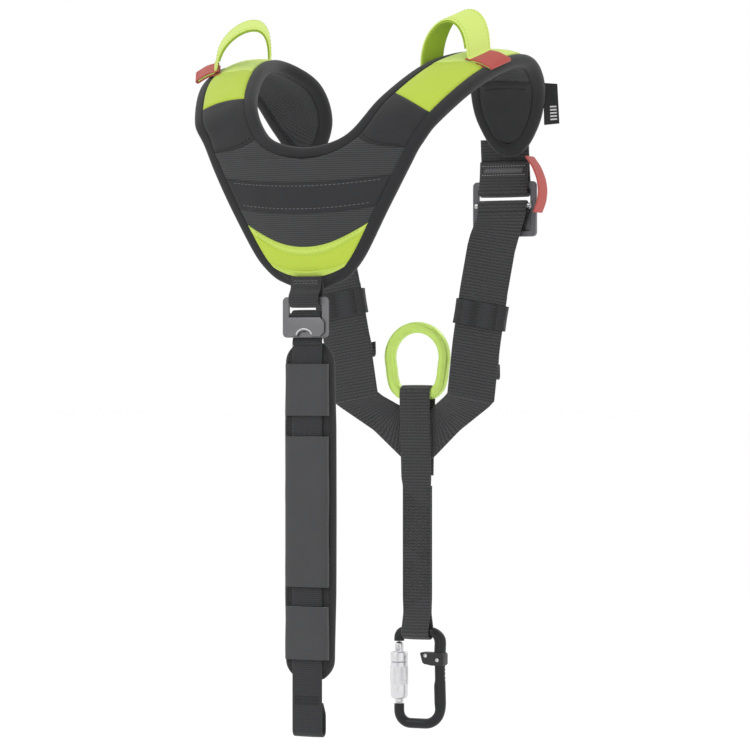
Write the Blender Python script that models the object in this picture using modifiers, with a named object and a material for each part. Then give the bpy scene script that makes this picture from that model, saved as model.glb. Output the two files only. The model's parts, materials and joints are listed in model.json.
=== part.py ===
"""Shoulder strap set of a tree climbing saddle: padded yoke, front straps with ring and
connector, and the padded back strap.

Frame: the wearer looks along +Y, +X is the wearer's right, +Z is up. The origin is the middle of
the line over both shoulder crests. All sizes are in metres.
"""

import math

import bmesh
import bpy
import numpy as np
from mathutils import Matrix, Vector

GAP = 0.0003

# Yoke: the visible outer face, right half. Row k runs from INNER[k] to OUTER[k], from the bottom
# tip of the back pad (row 0) over the shoulder crest (row 9) to the front end (row 12).
SPINE = [(0, -0.138, -0.223), (0, -0.1445, -0.204), (0, -0.148, -0.186),
         (0, -0.152, -0.145), (0, -0.153, -0.114), (0, -0.154, -0.087)]
NECK = [(0, -0.154, -0.0875), (0.040, -0.150, -0.0755), (0.064, -0.128, -0.040),
        (0.0835, -0.070, -0.005), (0.096, 0, 0.009), (0.080, 0.046, -0.008),
        (0.0765, 0.070, -0.044), (0.092, 0.0795, -0.0835)]
OUTER = [(0.030, -0.136, -0.214), (0.045, -0.140, -0.200), (0.057, -0.143, -0.184),
         (0.078, -0.145, -0.146), (0.093, -0.144, -0.118), (0.103, -0.142, -0.099),
         (0.113, -0.138, -0.080), (0.1265, -0.130, -0.058), (0.1475, -0.076, -0.019),
         (0.158, 0, 0.004), (0.156, 0.046, -0.013), (0.1435, 0.071, -0.048),
         (0.122, 0.0805, -0.085)]
NECK_ROW = 5
LAST_ROW = 12
PAD_FIRST_ROW = 0.45
PAD_LAST_ROW = 11.8
CROWN = 0.0025
BINDING_RADIUS = 0.0036
PAD_INSET = 2 * BINDING_RADIUS + 0.0028
COVER = (0.0, 0.0013)
CORE = (0.0019, 0.0092)
LINING = (0.0100, 0.0111)
POCKET = (0.0116, 0.0127)
ROW_SEAM = 0.02
GRID_ROWS = np.array([PAD_FIRST_ROW, *np.arange(1, PAD_LAST_ROW, 0.5), PAD_LAST_ROW])
GRID_SHARES = np.linspace(0, 1, 5)

# Webbing
THIN = 0.0022
BACK_WIDTH = 0.030
FRONT_WIDTH = 0.050
VENTRAL_WIDTH = 0.032
VENTRAL_EYE_WIDTH = 0.026
LOOP_TURN = 0.0053
RED_WIDTH = 0.018

# Back strap
BACK_BAR = Vector((0, -0.149, -0.2265))
BACK_BUCKLE_HEIGHT = 0.037
BACK_STRAP_Y = -0.146
BACK_STRAP_TOP = -0.2675
BACK_STRAP_BOTTOM = -0.624
BACK_PAD_WIDTH = 0.051
BACK_PAD_DEPTH = 0.010
BACK_PAD_TOP = -0.265
BACK_PAD_BOTTOM = -0.571
PATCH_WIDTH = 0.043
PATCHES = {"upper": (-0.284, -0.331), "middle": (-0.350, -0.487), "lower": (-0.505, -0.553)}

# Front straps
FRONT_BAR = Vector((0.0985, 0.084, -0.1120))
FRONT_BUCKLE_HEIGHT = 0.053
FRONT_STRAP = [(0.0860, 0.080, -0.1720), (0.0775, 0.0812, -0.2130), (0.0685, 0.0835, -0.2650),
               (0.0620, 0.086, -0.3140)]
KEEPER_Z = {"left": -0.225, "right": -0.236}
TAIL_SPAN = {"left": (-0.207, -0.277), "right": (-0.215, -0.292)}
KEEPER_HEIGHT = 0.024
GUSSET_Y = 0.098
GUSSET_LOW = -0.388
RING_BAR_Z = -0.3120
RING_RADIUS = 0.0055
CONNECTOR_X = 0.0025
CONNECTOR_HALF = 0.0220
CONNECTOR_TOP = -0.5445
CONNECTOR_LOW = -0.6340
CONNECTOR_RADIUS = 0.0050
GATE_X = CONNECTOR_X - CONNECTOR_HALF
GATE_PIVOT_Z = -0.5620
GATE_TOP = -0.5585
GATE_LOW = -0.6140
SLEEVE_TOP = -0.5645
COLLAR_LOW = -0.5745
SLEEVE_LOW = -0.6105
SLEEVE_RADIUS = 0.00925
SLEEVE_BORE = 0.0050
COLLAR_BORE = 0.0057

# Gear loops on the shoulders
LOOP_Y = -0.056
LOOP_WIDTH = 0.030
LOOP_ACROSS = Vector((0.42, 0.82, 0.38)).normalized()
LOOP_THICK = 0.0032
LOOP_FOOT = (0.083, 0.008)
LOOP_HEEL = {"left": (0.140, 0.000), "right": (0.131, 0.001)}
LOOP_RISE = 0.034
LOOP_LEAN = {"left": 0.008, "right": -0.002}

COLORS = {
    "pad_fabric": ((0.035, 0.036, 0.038), 0.85, 0.0),
    "mesh_fabric": ((0.045, 0.046, 0.048), 0.9, 0.0),
    "webbing": ((0.040, 0.041, 0.043), 0.8, 0.0),
    "felt": ((0.085, 0.086, 0.088), 0.95, 0.0),
    "lime_fabric": ((0.55, 0.72, 0.09), 0.8, 0.0),
    "lime_webbing": ((0.70, 0.86, 0.20), 0.8, 0.0),
    "red_webbing": ((0.60, 0.10, 0.09), 0.8, 0.0),
    "binding": ((0.030, 0.030, 0.032), 0.75, 0.0),
    "buckle_metal": ((0.20, 0.20, 0.21), 0.4, 1.0),
    "ring_metal": ((0.45, 0.72, 0.12), 0.3, 0.8),
    "connector_metal": ((0.02, 0.02, 0.022), 0.35, 0.9),
    "sleeve_metal": ((0.75, 0.75, 0.76), 0.35, 1.0),
    "plastic": ((0.02, 0.02, 0.02), 0.5, 0.0),
}


def clear_scene():
    for obj in list(bpy.data.objects):
        bpy.data.objects.remove(obj)


def make_materials():
    made = {}
    for name, (color, roughness, metallic) in COLORS.items():
        material = bpy.data.materials.new(name)
        material.use_nodes = True
        shader = material.node_tree.nodes["Principled BSDF"]
        shader.inputs["Base Color"].default_value = (*color, 1)
        shader.inputs["Roughness"].default_value = roughness
        shader.inputs["Metallic"].default_value = metallic
        made[name] = material
    return made


clear_scene()
SADDLE = bpy.data.collections.new("shoulder_strap_set")
bpy.context.scene.collection.children.link(SADDLE)
MATERIALS = make_materials()


# ---------------------------------------------------------------- building helpers

def pivot(name, location, parent=None):
    """An empty on a joint's axis, which the pieces of one body hang from."""
    empty = bpy.data.objects.new(name, None)
    empty.empty_display_size = 0.01
    SADDLE.objects.link(empty)
    empty.matrix_world = Matrix.Translation(location)
    if parent:
        hang(empty, parent)
    return empty


def hang(obj, parent):
    """Parents obj and leaves it where it is."""
    bpy.context.view_layer.update()
    place = obj.matrix_world.copy()
    obj.parent = parent
    obj.matrix_parent_inverse = parent.matrix_world.inverted()
    obj.matrix_world = place


def add(name, data, material, parent=None, place=None):
    """A named object with its material, at a place, hung from a body's empty."""
    data.materials.append(MATERIALS[material])
    obj = bpy.data.objects.new(name, data)
    SADDLE.objects.link(obj)
    if place is not None:
        obj.matrix_world = place
    if parent:
        hang(obj, parent)
    return obj


def mesh_from(name, points, faces):
    mesh = bpy.data.meshes.new(name)
    mesh.from_pydata([tuple(point) for point in points], [], faces)
    return mesh


def flat_curve(name, outlines, half):
    """A 2D curve of closed outlines, extruded both ways by half."""
    curve = bpy.data.curves.new(name, "CURVE")
    curve.dimensions = "2D"
    curve.fill_mode = "BOTH"
    curve.extrude = half
    for outline in outlines:
        spline = curve.splines.new("POLY")
        spline.points.add(len(outline) - 1)
        spline.use_cyclic_u = True
        for point, (x, y) in zip(spline.points, outline):
            point.co = (x, y, 0, 1)
    return curve


def wire(name, points, radius, cyclic=False):
    """A round bar along the points."""
    curve = bpy.data.curves.new(name, "CURVE")
    curve.dimensions = "3D"
    curve.bevel_depth = radius
    curve.bevel_resolution = 2
    curve.use_fill_caps = not cyclic
    spline = curve.splines.new("POLY")
    spline.points.add(len(points) - 1)
    spline.use_cyclic_u = cyclic
    for point, (x, y, z) in zip(spline.points, points):
        point.co = (x, y, z, 1)
    return curve


# A flat piece's local X and Y turned to world Y and Z, so that its depth runs along world X.
SIDEWAYS = Matrix(((0, 0, 1, 0), (1, 0, 0, 0), (0, 1, 0, 0), (0, 0, 0, 1)))
# A flat piece's local X and Y turned to world X and Z, so that its depth runs along world Y.
UPRIGHT = Matrix(((1, 0, 0, 0), (0, 0, -1, 0), (0, 1, 0, 0), (0, 0, 0, 1)))


def ribbon(name, profile, width, thickness, material, parent=None, x=0.0):
    """Webbing whose side view is the open line profile, in world Y and Z, centred on x."""
    curve = bpy.data.curves.new(name, "CURVE")
    curve.dimensions = "2D"
    curve.fill_mode = "NONE"
    curve.extrude = width / 2
    spline = curve.splines.new("POLY")
    spline.points.add(len(profile) - 1)
    for point, (y, z) in zip(spline.points, profile):
        point.co = (y, z, 0, 1)
    obj = add(name, curve, material, parent, Matrix.Translation((x, 0, 0)) @ SIDEWAYS)
    wall = obj.modifiers.new("thickness", "SOLIDIFY")
    wall.thickness = thickness
    wall.offset = 0
    wall.use_even_offset = True
    return obj


def arc(centre, radius, start, end, steps=8):
    """Points of an arc, with angles in degrees from the first axis towards the second."""
    angles = [math.radians(start + (end - start) * k / steps) for k in range(steps + 1)]
    return [(centre[0] + radius * math.cos(a), centre[1] + radius * math.sin(a)) for a in angles]


def band(name, centres, across, thickness, material, parent=None):
    """Webbing of one thickness lofted through centres, with a half-width vector at each."""
    centres = np.array(centres, float)
    across = np.array(across, float)
    along = np.gradient(centres, axis=0)
    normal = np.cross(across, along)
    normal *= thickness / 2 / np.linalg.norm(normal, axis=1)[:, None]
    corners = [centres - across - normal, centres + across - normal,
               centres + across + normal, centres - across + normal]
    points = np.stack(corners, axis=1).reshape(-1, 3)
    faces = [(3, 2, 1, 0)]
    for k in range(len(centres) - 1):
        a = 4 * k
        for side in range(4):
            after = (side + 1) % 4
            faces.append((a + side, a + after, a + 4 + after, a + 4 + side))
    last = 4 * (len(centres) - 1)
    faces.append((last, last + 1, last + 2, last + 3))
    mesh = mesh_from(name, points, faces)
    face_outwards(mesh)
    return add(name, mesh, material, parent)


def face_outwards(mesh):
    shape = bmesh.new()
    shape.from_mesh(mesh)
    bmesh.ops.recalc_face_normals(shape, faces=shape.faces)
    shape.to_mesh(mesh)
    shape.free()


def turned(name, profile, material, parent, place, steps=16):
    """A turned piece about local Z. The profile, in radius and height, runs down its outside."""
    mesh = mesh_from(name, [(r, 0, z) for r, z in profile], [])
    shape = bmesh.new()
    shape.from_mesh(mesh)
    shape.verts.ensure_lookup_table()
    count = len(profile)
    closed = profile[0][0] > 0
    for k in range(count if closed else count - 1):
        shape.edges.new((shape.verts[k], shape.verts[(k + 1) % count]))
    shape.to_mesh(mesh)
    shape.free()
    obj = add(name, mesh, material, parent, place)
    screw = obj.modifiers.new("turn", "SCREW")
    screw.steps = steps
    screw.render_steps = steps
    screw.use_merge_vertices = True
    screw.merge_threshold = 0.00001
    screw.use_smooth_shade = True
    return obj


# ---------------------------------------------------------------- yoke surface

def smooth_through(points, at, before=None):
    """Catmull-Rom curve through the points, read at the row numbers in at."""
    points = np.array(points, float)
    first = 2 * points[0] - points[1] if before is None else np.array(before, float)
    last = 2 * points[-1] - points[-2]
    full = np.vstack([first, points, last])
    at = np.clip(np.asarray(at, float), 0, len(points) - 1)
    row = np.minimum(at.astype(int), len(points) - 2)
    t = (at - row)[:, None]
    a, b, c, d = (full[row + k] for k in range(4))
    bend = (2 * a - 5 * b + 4 * c - d) * t**2 + (3 * b - a - 3 * c + d) * t**3
    return b + 0.5 * ((c - a) * t + bend)


def inner_edge(rows):
    rows = np.asarray(rows, float)
    mirrored = (-NECK[1][0], *NECK[1][1:])
    neck = smooth_through(NECK, rows - NECK_ROW, before=mirrored)
    spine = smooth_through(SPINE, rows)
    return np.where((rows < NECK_ROW)[:, None], spine, neck)


def outer_edge(rows):
    return smooth_through(OUTER, rows)


def unit(vectors):
    return vectors / np.linalg.norm(vectors, axis=1)[:, None]


def edge_frames(rows):
    """Both edges, with the direction into the pad from each, and the outward normal."""
    step = 0.02
    low = np.clip(rows - step, 0, LAST_ROW)
    high = np.clip(rows + step, 0, LAST_ROW)
    inner = inner_edge(rows)
    outer = outer_edge(rows)
    neck_low = np.where(rows >= NECK_ROW, np.maximum(low, NECK_ROW), low)
    inner_run = unit(inner_edge(high) - inner_edge(neck_low))
    outer_run = unit(outer_edge(high) - outer_edge(low))
    inner_run[np.isclose(rows, NECK_ROW)] = (1, 0, 0)
    middle_run = unit((inner_edge(high) - inner_edge(low)) + (outer_edge(high) - outer_edge(low)))
    normal = unit(np.cross(outer - inner, middle_run))
    into_from_inner = unit(np.cross(inner_run, normal))
    into_from_outer = unit(np.cross(normal, outer_run))
    return inner, outer, into_from_inner, into_from_outer, normal


def pad_edges(rows):
    """The pad's own edges, which lie one binding width inside the yoke's outline."""
    inner, outer, into_inner, into_outer, _ = edge_frames(rows)
    share = np.clip(rows / NECK_ROW, 0, 1)[:, None] ** 3
    down = np.array([(0, 0, -1.0)])
    on_neck = (rows >= NECK_ROW)[:, None]
    inner = inner + PAD_INSET * np.where(on_neck, into_inner, share * down)
    outer = outer + PAD_INSET * into_outer
    inner[rows <= NECK_ROW, 0] = 0
    return inner, outer


def yoke_surface(rows, shares):
    """The crowned outer face at rows and shares of the width."""
    inner, outer = pad_edges(rows)
    s = shares[None, :, None]
    crown = CROWN * 4 * s * (1 - s)
    normal = edge_frames(rows)[4][:, None, :]
    return inner[:, None] * (1 - s) + outer[:, None] * s + crown * normal


def yoke_lattice():
    """The outer face's points and unit normals at the lattice every layer is read from."""
    points = yoke_surface(GRID_ROWS, GRID_SHARES)
    normal = np.cross(np.gradient(points, axis=1), np.gradient(points, axis=0))
    normal[(points[:, :, 0] < 1e-6), 0] = 0
    return points, normal / np.linalg.norm(normal, axis=2)[:, :, None]


def between(values, knots, at):
    """Values on knots of the first axis, read in straight lines at other places."""
    low = np.clip(np.searchsorted(knots, at, side="right") - 1, 0, len(knots) - 2)
    share = (at - knots[low]) / (knots[low + 1] - knots[low])
    share = share.reshape(-1, *([1] * (values.ndim - 1)))
    return values[low] * (1 - share) + values[low + 1] * share


def yoke_grid(rows, shares, depth):
    """Points of the yoke at a depth below its outer face, flat between lattice points."""
    points, normal = yoke_lattice()
    layer = between(points - depth * normal, GRID_ROWS, rows)
    return between(layer.swapaxes(0, 1), GRID_SHARES, shares).swapaxes(0, 1)


def knots_within(knots, first, last):
    inside = knots[(knots > first + 1e-6) & (knots < last - 1e-6)]
    return np.array([first, *inside, last])


def slab(name, first, last, depths, material, side="both", across=(0.0, 1.0)):
    """A layer of the yoke between two rows, two depths and two shares of its width.

    side is both for one piece with its mirror image, or right or left for a piece of its own.
    """
    rows = knots_within(GRID_ROWS, first, last)
    shares = knots_within(GRID_SHARES, *across)
    top = yoke_grid(rows, shares, depths[0])
    low = yoke_grid(rows, shares, depths[1])
    tall, wide = len(rows), len(shares)
    index = np.arange(tall * wide).reshape(tall, wide)
    points = np.vstack([top.reshape(-1, 3), low.reshape(-1, 3)])
    points[np.abs(points[:, 0]) < 1e-6, 0] = 0
    below = tall * wide
    faces = []
    for i in range(tall - 1):
        for j in range(wide - 1):
            quad = [index[i, j], index[i, j + 1], index[i + 1, j + 1], index[i + 1, j]]
            faces.append(quad)
            faces.append([k + below for k in reversed(quad)])
    rim = [*index[0, :-1], *index[:-1, -1], *index[-1, :0:-1], *index[:0:-1, 0]]
    for p, q in zip(rim, rim[1:] + rim[:1]):
        if side == "both" and points[p, 0] == 0 and points[q, 0] == 0:
            continue
        faces.append([q, p, p + below, q + below])
    faces = [[int(k) for k in face] for face in faces]
    if side == "left":
        points[:, 0] *= -1
        faces = [face[::-1] for face in faces]
    obj = add(name, mesh_from(name, points, faces), material)
    if side == "both":
        mirror = obj.modifiers.new("mirror", "MIRROR")
        mirror.merge_threshold = 0.00001
    return obj


# ---------------------------------------------------------------- yoke pieces

def binding_run(rows, edge):
    """Middle line of the binding along one edge, half of the pad's depth below its face."""
    inner, outer, into_inner, into_outer, normal = edge_frames(rows)
    sunk = normal * (CORE[1] / 2)
    if edge == "inner":
        return inner + into_inner * BINDING_RADIUS - sunk
    return outer + into_outer * BINDING_RADIUS - sunk


def build_bindings():
    mirror = np.array([-1, 1, 1])
    neck = binding_run(np.linspace(NECK_ROW, LAST_ROW - 0.3, 24), "inner")
    neck[0, 0] = 0
    run = np.vstack([(neck * mirror)[:0:-1], neck])
    add("neck_binding", wire("neck_binding", run, BINDING_RADIUS), "binding")
    outer = binding_run(np.linspace(LAST_ROW - 0.3, 0.25, 28), "outer")
    tip = np.array(SPINE[0]) + (0, 0.0045, BINDING_RADIUS)
    run = np.vstack([outer, tip, (outer * mirror)[::-1]])
    add("outer_binding", wire("outer_binding", run, BINDING_RADIUS), "binding")


def build_yoke():
    slab("yoke_core", PAD_FIRST_ROW, PAD_LAST_ROW, CORE, "pad_fabric")
    slab("yoke_lining", PAD_FIRST_ROW, PAD_LAST_ROW, LINING, "mesh_fabric")
    whole = {
        "lime_back_panel": (1.0, 2.8, "lime_fabric"),
        "name_band": (2.8, 4.0, "pad_fabric"),
        "ribbed_panel": (4.0, 6.0, "mesh_fabric"),
    }
    for name, (first, last, material) in whole.items():
        slab(name, first + ROW_SEAM, last - ROW_SEAM, COVER, material)
    paired = {
        "smooth_panel": (6.0, 7.1, "pad_fabric"),
        "shoulder_patch": (7.1, 9.7, "lime_fabric"),
        "front_cover": (9.7, PAD_LAST_ROW, "mesh_fabric"),
    }
    for side in ("left", "right"):
        for name, (first, last, material) in paired.items():
            slab(f"{side}_{name}", first + ROW_SEAM, last - ROW_SEAM, COVER, material, side)
    slab("right_pocket", 9.95, 11.7, POCKET, "pad_fabric", "right", (0.08, 0.92))
    build_bindings()


def build_tag():
    """A woven flag sewn to the outer edge of the right front end."""
    outline = [(0, -0.019), (0.0105, -0.0175), (0.0085, 0.020), (-0.001, 0.021)]
    turn = Matrix.Rotation(math.radians(25), 4, "Z")
    place = Matrix.Translation((0.1515, 0.064, -0.038)) @ turn @ UPRIGHT
    add("side_tag", flat_curve("side_tag", [outline], 0.0006), "webbing", place=place)


# ---------------------------------------------------------------- gear loops

def build_gear_loop(side):
    """A flat band arched over the shoulder, sewn at its neck end, with a pull tab at the other."""
    sign = 1 if side == "right" else -1
    foot_x, foot_z = LOOP_FOOT
    heel_x, heel_z = LOOP_HEEL[side]
    middle = (foot_x + heel_x) / 2
    half = (heel_x - foot_x) / 2
    across = Vector((sign * LOOP_ACROSS.x, LOOP_ACROSS.y, LOOP_ACROSS.z)) * (LOOP_WIDTH / 2)
    centres = []
    for k in range(17):
        angle = math.pi * (1 - k / 16)
        rise = LOOP_RISE * math.sin(angle)
        x = middle + half * math.cos(angle) - LOOP_LEAN[side] * math.sin(angle) ** 2
        centres.append((sign * x, LOOP_Y, foot_z + rise + (heel_z - foot_z) * k / 16))
    hinge = pivot(f"{side}_loop_hinge", (sign * foot_x, LOOP_Y, foot_z))
    band(f"{side}_gear_loop", centres, [across] * len(centres), LOOP_THICK, "lime_webbing", hinge)
    tab = [(sign * (heel_x + out), LOOP_Y, heel_z - drop)
           for out, drop in ((-0.002, 0.0025), (0.010, 0.0045), (0.021, 0.0105))]
    band(f"{side}_loop_tab", tab, [across * 0.86] * 3, 0.0036, "red_webbing", hinge)


# ---------------------------------------------------------------- buckles

def chamfered(half, top, low, cut):
    return [(-half + cut, low), (half - cut, low), (half, low + cut), (half, top - cut),
            (half - cut, top), (-half + cut, top), (-half, top - cut), (-half, low + cut)]


def notched_plate(half, top, low, notch):
    """Outline of the locking plate, with an arched finger notch in its lower edge."""
    cut = 0.004
    arch = arc((0, low), notch, 180, 0, 10)
    return [(-half, low + cut), (-half + cut, low), *arch, (half - cut, low), (half, low + cut),
            (half, top - cut), (half - cut, top), (-half + cut, top), (-half, top - cut)]


def build_buckle(prefix, bar, width, height, outwards):
    """A frame whose top bar lies on the hinge, a notched plate, a cross bar and the webbing
    turned round it. outwards is -1 where the buckle's outer face looks along -Y."""
    hinge = pivot(f"{prefix}_buckle_hinge", bar)
    place = Matrix.Translation(bar) @ UPRIGHT
    half = width / 2 + 0.008
    top = 0.0035
    low = top - height
    window = [(-width / 2 - 0.0015, -0.0035), (width / 2 + 0.0015, -0.0035),
              (width / 2 + 0.0015, low + 0.006), (-width / 2 - 0.0015, low + 0.006)]
    frame = flat_curve(f"{prefix}_frame", [chamfered(half, top, low, 0.0035), window], 0.0016)
    add(f"{prefix}_buckle_frame", frame, "buckle_metal", hinge, place)
    plate_top = 0.45 * low
    outline = notched_plate(half - 0.003, plate_top, low + 0.001, 0.22 * width)
    plate = flat_curve(f"{prefix}_plate", [outline], 0.0011)
    offset = Matrix.Translation((0, outwards * (0.0016 + GAP + 0.0011), 0))
    add(f"{prefix}_buckle_plate", plate, "buckle_metal", hinge, offset @ place)
    cross_z = 0.40 * low
    cross_y = -outwards * 0.0044
    ends = [(bar.x - width / 2 - 0.004, bar.y + cross_y, bar.z + cross_z),
            (bar.x + width / 2 + 0.004, bar.y + cross_y, bar.z + cross_z)]
    add(f"{prefix}_cross_bar", wire(f"{prefix}_cross_bar", ends, 0.0025), "buckle_metal", hinge)
    centre = (bar.y + cross_y, bar.z + cross_z)
    turn = arc(centre, 0.0041, 180, 0, 10) if outwards < 0 else arc(centre, 0.0041, 0, 180, 10)
    turn = [(turn[0][0], centre[1] - 0.006), *turn, (turn[-1][0], centre[1] - 0.006)]
    ribbon(f"{prefix}_webbing_turn", turn, width, THIN, "webbing", hinge, bar.x)
    return hinge


def hanger(first_leg, bar, last_leg):
    """Side view of webbing that comes down one leg, turns under a buckle's top bar and goes up
    the other leg."""
    return [*first_leg, *arc((bar.y, bar.z), LOOP_TURN, 180, 360, 10), *last_leg]


# ---------------------------------------------------------------- back strap

def build_back():
    outer_leg = [(-0.1469, -0.2057), (-0.1480, -0.2136), (-0.1540, -0.2210)]
    inner_leg = [(-0.1430, -0.2136), (-0.1443, -0.2057)]
    run = hanger(outer_leg, BACK_BAR, inner_leg)
    ribbon("back_sewn_webbing", run, BACK_WIDTH, THIN, "webbing")
    hinge = build_buckle("back", BACK_BAR, BACK_WIDTH, BACK_BUCKLE_HEIGHT, -1)
    strap_body = pivot("back_strap_slide", (0, BACK_STRAP_Y, BACK_STRAP_TOP), hinge)
    feed_top = BACK_BAR.z - 0.0202
    feed_y = BACK_BAR.y + 0.0085
    feed = [(feed_y, feed_top - GAP), (feed_y, feed_top - 0.006),
            (BACK_STRAP_Y, BACK_STRAP_TOP + 0.005), (BACK_STRAP_Y, BACK_STRAP_TOP + GAP)]
    ribbon("back_feed", feed, BACK_WIDTH, THIN, "webbing", strap_body)
    loop_top = BACK_PAD_BOTTOM - 0.022
    turn = arc((BACK_STRAP_Y + 0.004, BACK_STRAP_BOTTOM + 0.005), 0.004, 180, 360, 8)
    strap = [(BACK_STRAP_Y, BACK_STRAP_TOP), (BACK_STRAP_Y, loop_top), *turn,
             (BACK_STRAP_Y + 0.008, loop_top - 0.010), (BACK_STRAP_Y + 0.0028, loop_top)]
    ribbon("back_strap", strap, BACK_WIDTH, THIN, "webbing", strap_body)
    pad_body = pivot("back_pad_slide", (0, BACK_STRAP_Y, BACK_PAD_TOP), strap_body)
    half = BACK_PAD_WIDTH / 2
    round_low = BACK_PAD_BOTTOM + 0.012
    round_top = BACK_PAD_TOP - 0.012
    outline = [*arc((half - 0.012, round_low), 0.012, -90, 0, 5),
               *arc((half - 0.012, round_top), 0.012, 0, 90, 5),
               *arc((-half + 0.012, round_top), 0.012, 90, 180, 5),
               *arc((-half + 0.012, round_low), 0.012, 180, 270, 5)]
    pad_y = BACK_STRAP_Y + THIN / 2 + GAP + BACK_PAD_DEPTH / 2
    add("back_pad", flat_curve("back_pad", [outline], BACK_PAD_DEPTH / 2), "pad_fabric", pad_body,
        Matrix.Translation((0, pad_y, 0)) @ UPRIGHT)
    build_patches(pad_body)


def build_patches(pad_body):
    """Three sleeves that hold the strap against the pad: each is a shallow channel."""
    outer = PATCH_WIDTH / 2
    channel = BACK_WIDTH / 2 + 0.0006
    base = BACK_STRAP_Y + THIN / 2
    roof = BACK_STRAP_Y - THIN / 2 - GAP
    outside = roof - 0.002
    section = [(-outer, base), (-outer, outside + 0.001), (-outer + 0.002, outside),
               (outer - 0.002, outside), (outer, outside + 0.001), (outer, base),
               (channel, base), (channel, roof), (-channel, roof), (-channel, base)]
    for name, (top, low) in PATCHES.items():
        curve = flat_curve(f"back_patch_{name}", [section], (top - low) / 2)
        add(f"back_patch_{name}", curve, "felt", pad_body,
            Matrix.Translation((0, 0, (top + low) / 2)))


# ---------------------------------------------------------------- front straps

def mirror_x(points, sign):
    return [(sign * x, y, z) for x, y, z in points]


def strap_line(z):
    """Centre of the right front strap at a height."""
    points = np.array(FRONT_STRAP)
    heights = points[::-1, 2]
    return Vector([float(np.interp(z, heights, points[::-1, k])) for k in range(3)])


def build_front_hangers():
    for side, sign in (("left", -1), ("right", 1)):
        bar = Vector((sign * FRONT_BAR.x, FRONT_BAR.y, FRONT_BAR.z))
        long_leg = [(bar.y - 0.0016, bar.z + 0.0275), (bar.y - 0.0016, bar.z + 0.014)]
        hem = [(bar.y + 0.0016, bar.z + 0.014), (bar.y + 0.0016, bar.z + 0.0165)]
        run = hanger(long_leg, bar, hem)
        ribbon(f"{side}_sewn_webbing", run, FRONT_WIDTH, THIN, "webbing", x=bar.x)
        bow = [(0.1290, 0.0720, -0.0880), (0.1360, 0.0720, -0.0960), (0.1415, 0.0720, -0.1080),
               (0.1430, 0.0720, -0.1180), (0.1410, 0.0720, -0.1290), (0.1370, 0.0720, -0.1390)]
        band(f"{side}_red_bow", mirror_x(bow, sign), [(0, RED_WIDTH / 2, 0)] * len(bow), 0.0016,
             "red_webbing")


def build_front_strap(side, sign, chest):
    """The lower strap of one side, its feed at the buckle and its folded tail."""
    top = Vector(FRONT_STRAP[0])
    slope = (Vector(FRONT_STRAP[-1]) - top).normalized()
    half = Vector((-slope.z, 0, sign * slope.x)) * (FRONT_WIDTH / 2)
    turn_low = FRONT_BAR.z - 0.40 * (FRONT_BUCKLE_HEIGHT - 0.0035) - 0.006
    turn_y = FRONT_BAR.y - 0.0044 - 0.0041
    feed = [(FRONT_BAR.x, turn_y, turn_low - GAP), (FRONT_BAR.x - 0.001, turn_y, turn_low - 0.006),
            (top.x + 0.003, top.y - 0.0005, top.z + 0.010), tuple(top + Vector((0, 0, GAP)))]
    straight = (FRONT_WIDTH / 2, 0, 0)
    band(f"{side}_feed", mirror_x(feed, sign), [straight, straight, half, half], THIN,
         "webbing", chest)
    band(f"{side}_strap", mirror_x(FRONT_STRAP, sign), [half] * len(FRONT_STRAP), THIN,
         "webbing", chest)
    high, low = TAIL_SPAN[side]
    lift = Vector((0, THIN + GAP, 0))
    tail = [tuple(strap_line(z) + lift) for z in np.linspace(high, low, 6)]
    tail[-1] = (tail[-1][0], tail[-1][1] + 0.004, low)
    band(f"{side}_tail", mirror_x(tail, sign), [half * 0.96] * len(tail), THIN, "webbing", chest)
    return half


def build_keeper(side, sign, half):
    """An elastic band round the strap and its tail, drawn as its section and extruded."""
    centre = strap_line(KEEPER_Z[side])
    centre.x *= sign
    inside_x = FRONT_WIDTH / 2 + 0.0014
    inside_low = -THIN / 2 - 0.0009
    inside_high = 1.5 * THIN + GAP + 0.0009
    wall = 0.0014
    outer = [(-inside_x - wall, inside_low - wall), (inside_x + wall, inside_low - wall),
             (inside_x + wall, inside_high + wall), (-inside_x - wall, inside_high + wall)]
    inner = [(-inside_x, inside_low), (inside_x, inside_low), (inside_x, inside_high),
             (-inside_x, inside_high)]
    curve = flat_curve(f"{side}_keeper", [outer, inner], KEEPER_HEIGHT / 2)
    lean = math.atan2(-half.z, half.x)
    body = pivot(f"{side}_keeper_slide", centre)
    place = Matrix.Translation(centre) @ Matrix.Rotation(lean, 4, "Y")
    add(f"{side}_keeper", curve, "webbing", body, place)


def build_gusset(chest):
    """The V where both straps are sewn together: each half turns from a strap to the middle."""
    rows = [((0.0374, 0.0867, -0.3106), (0.0866, 0.0862, -0.3192)),
            ((0.0330, 0.0890, -0.3145), (0.0800, 0.0885, -0.3250)),
            ((0.0180, 0.0975, -0.3240), (0.0460, 0.0955, -0.3480)),
            ((0.0165, 0.0980, -0.3255), (0.0190, 0.0980, -0.3730)),
            ((0.0, GUSSET_Y, -0.3400), (0.0, GUSSET_Y, GUSSET_LOW))]
    centres = [[(a + b) / 2 for a, b in zip(*row)] for row in rows]
    across = [[(b - a) / 2 for a, b in zip(*row)] for row in rows]
    left = [[-x, y, z] for x, y, z in centres[-2::-1]]
    left_across = [[-x, y, z] for x, y, z in across[-2::-1]]
    band("chest_gusset", centres + left, across + left_across, THIN, "webbing", chest)


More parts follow.
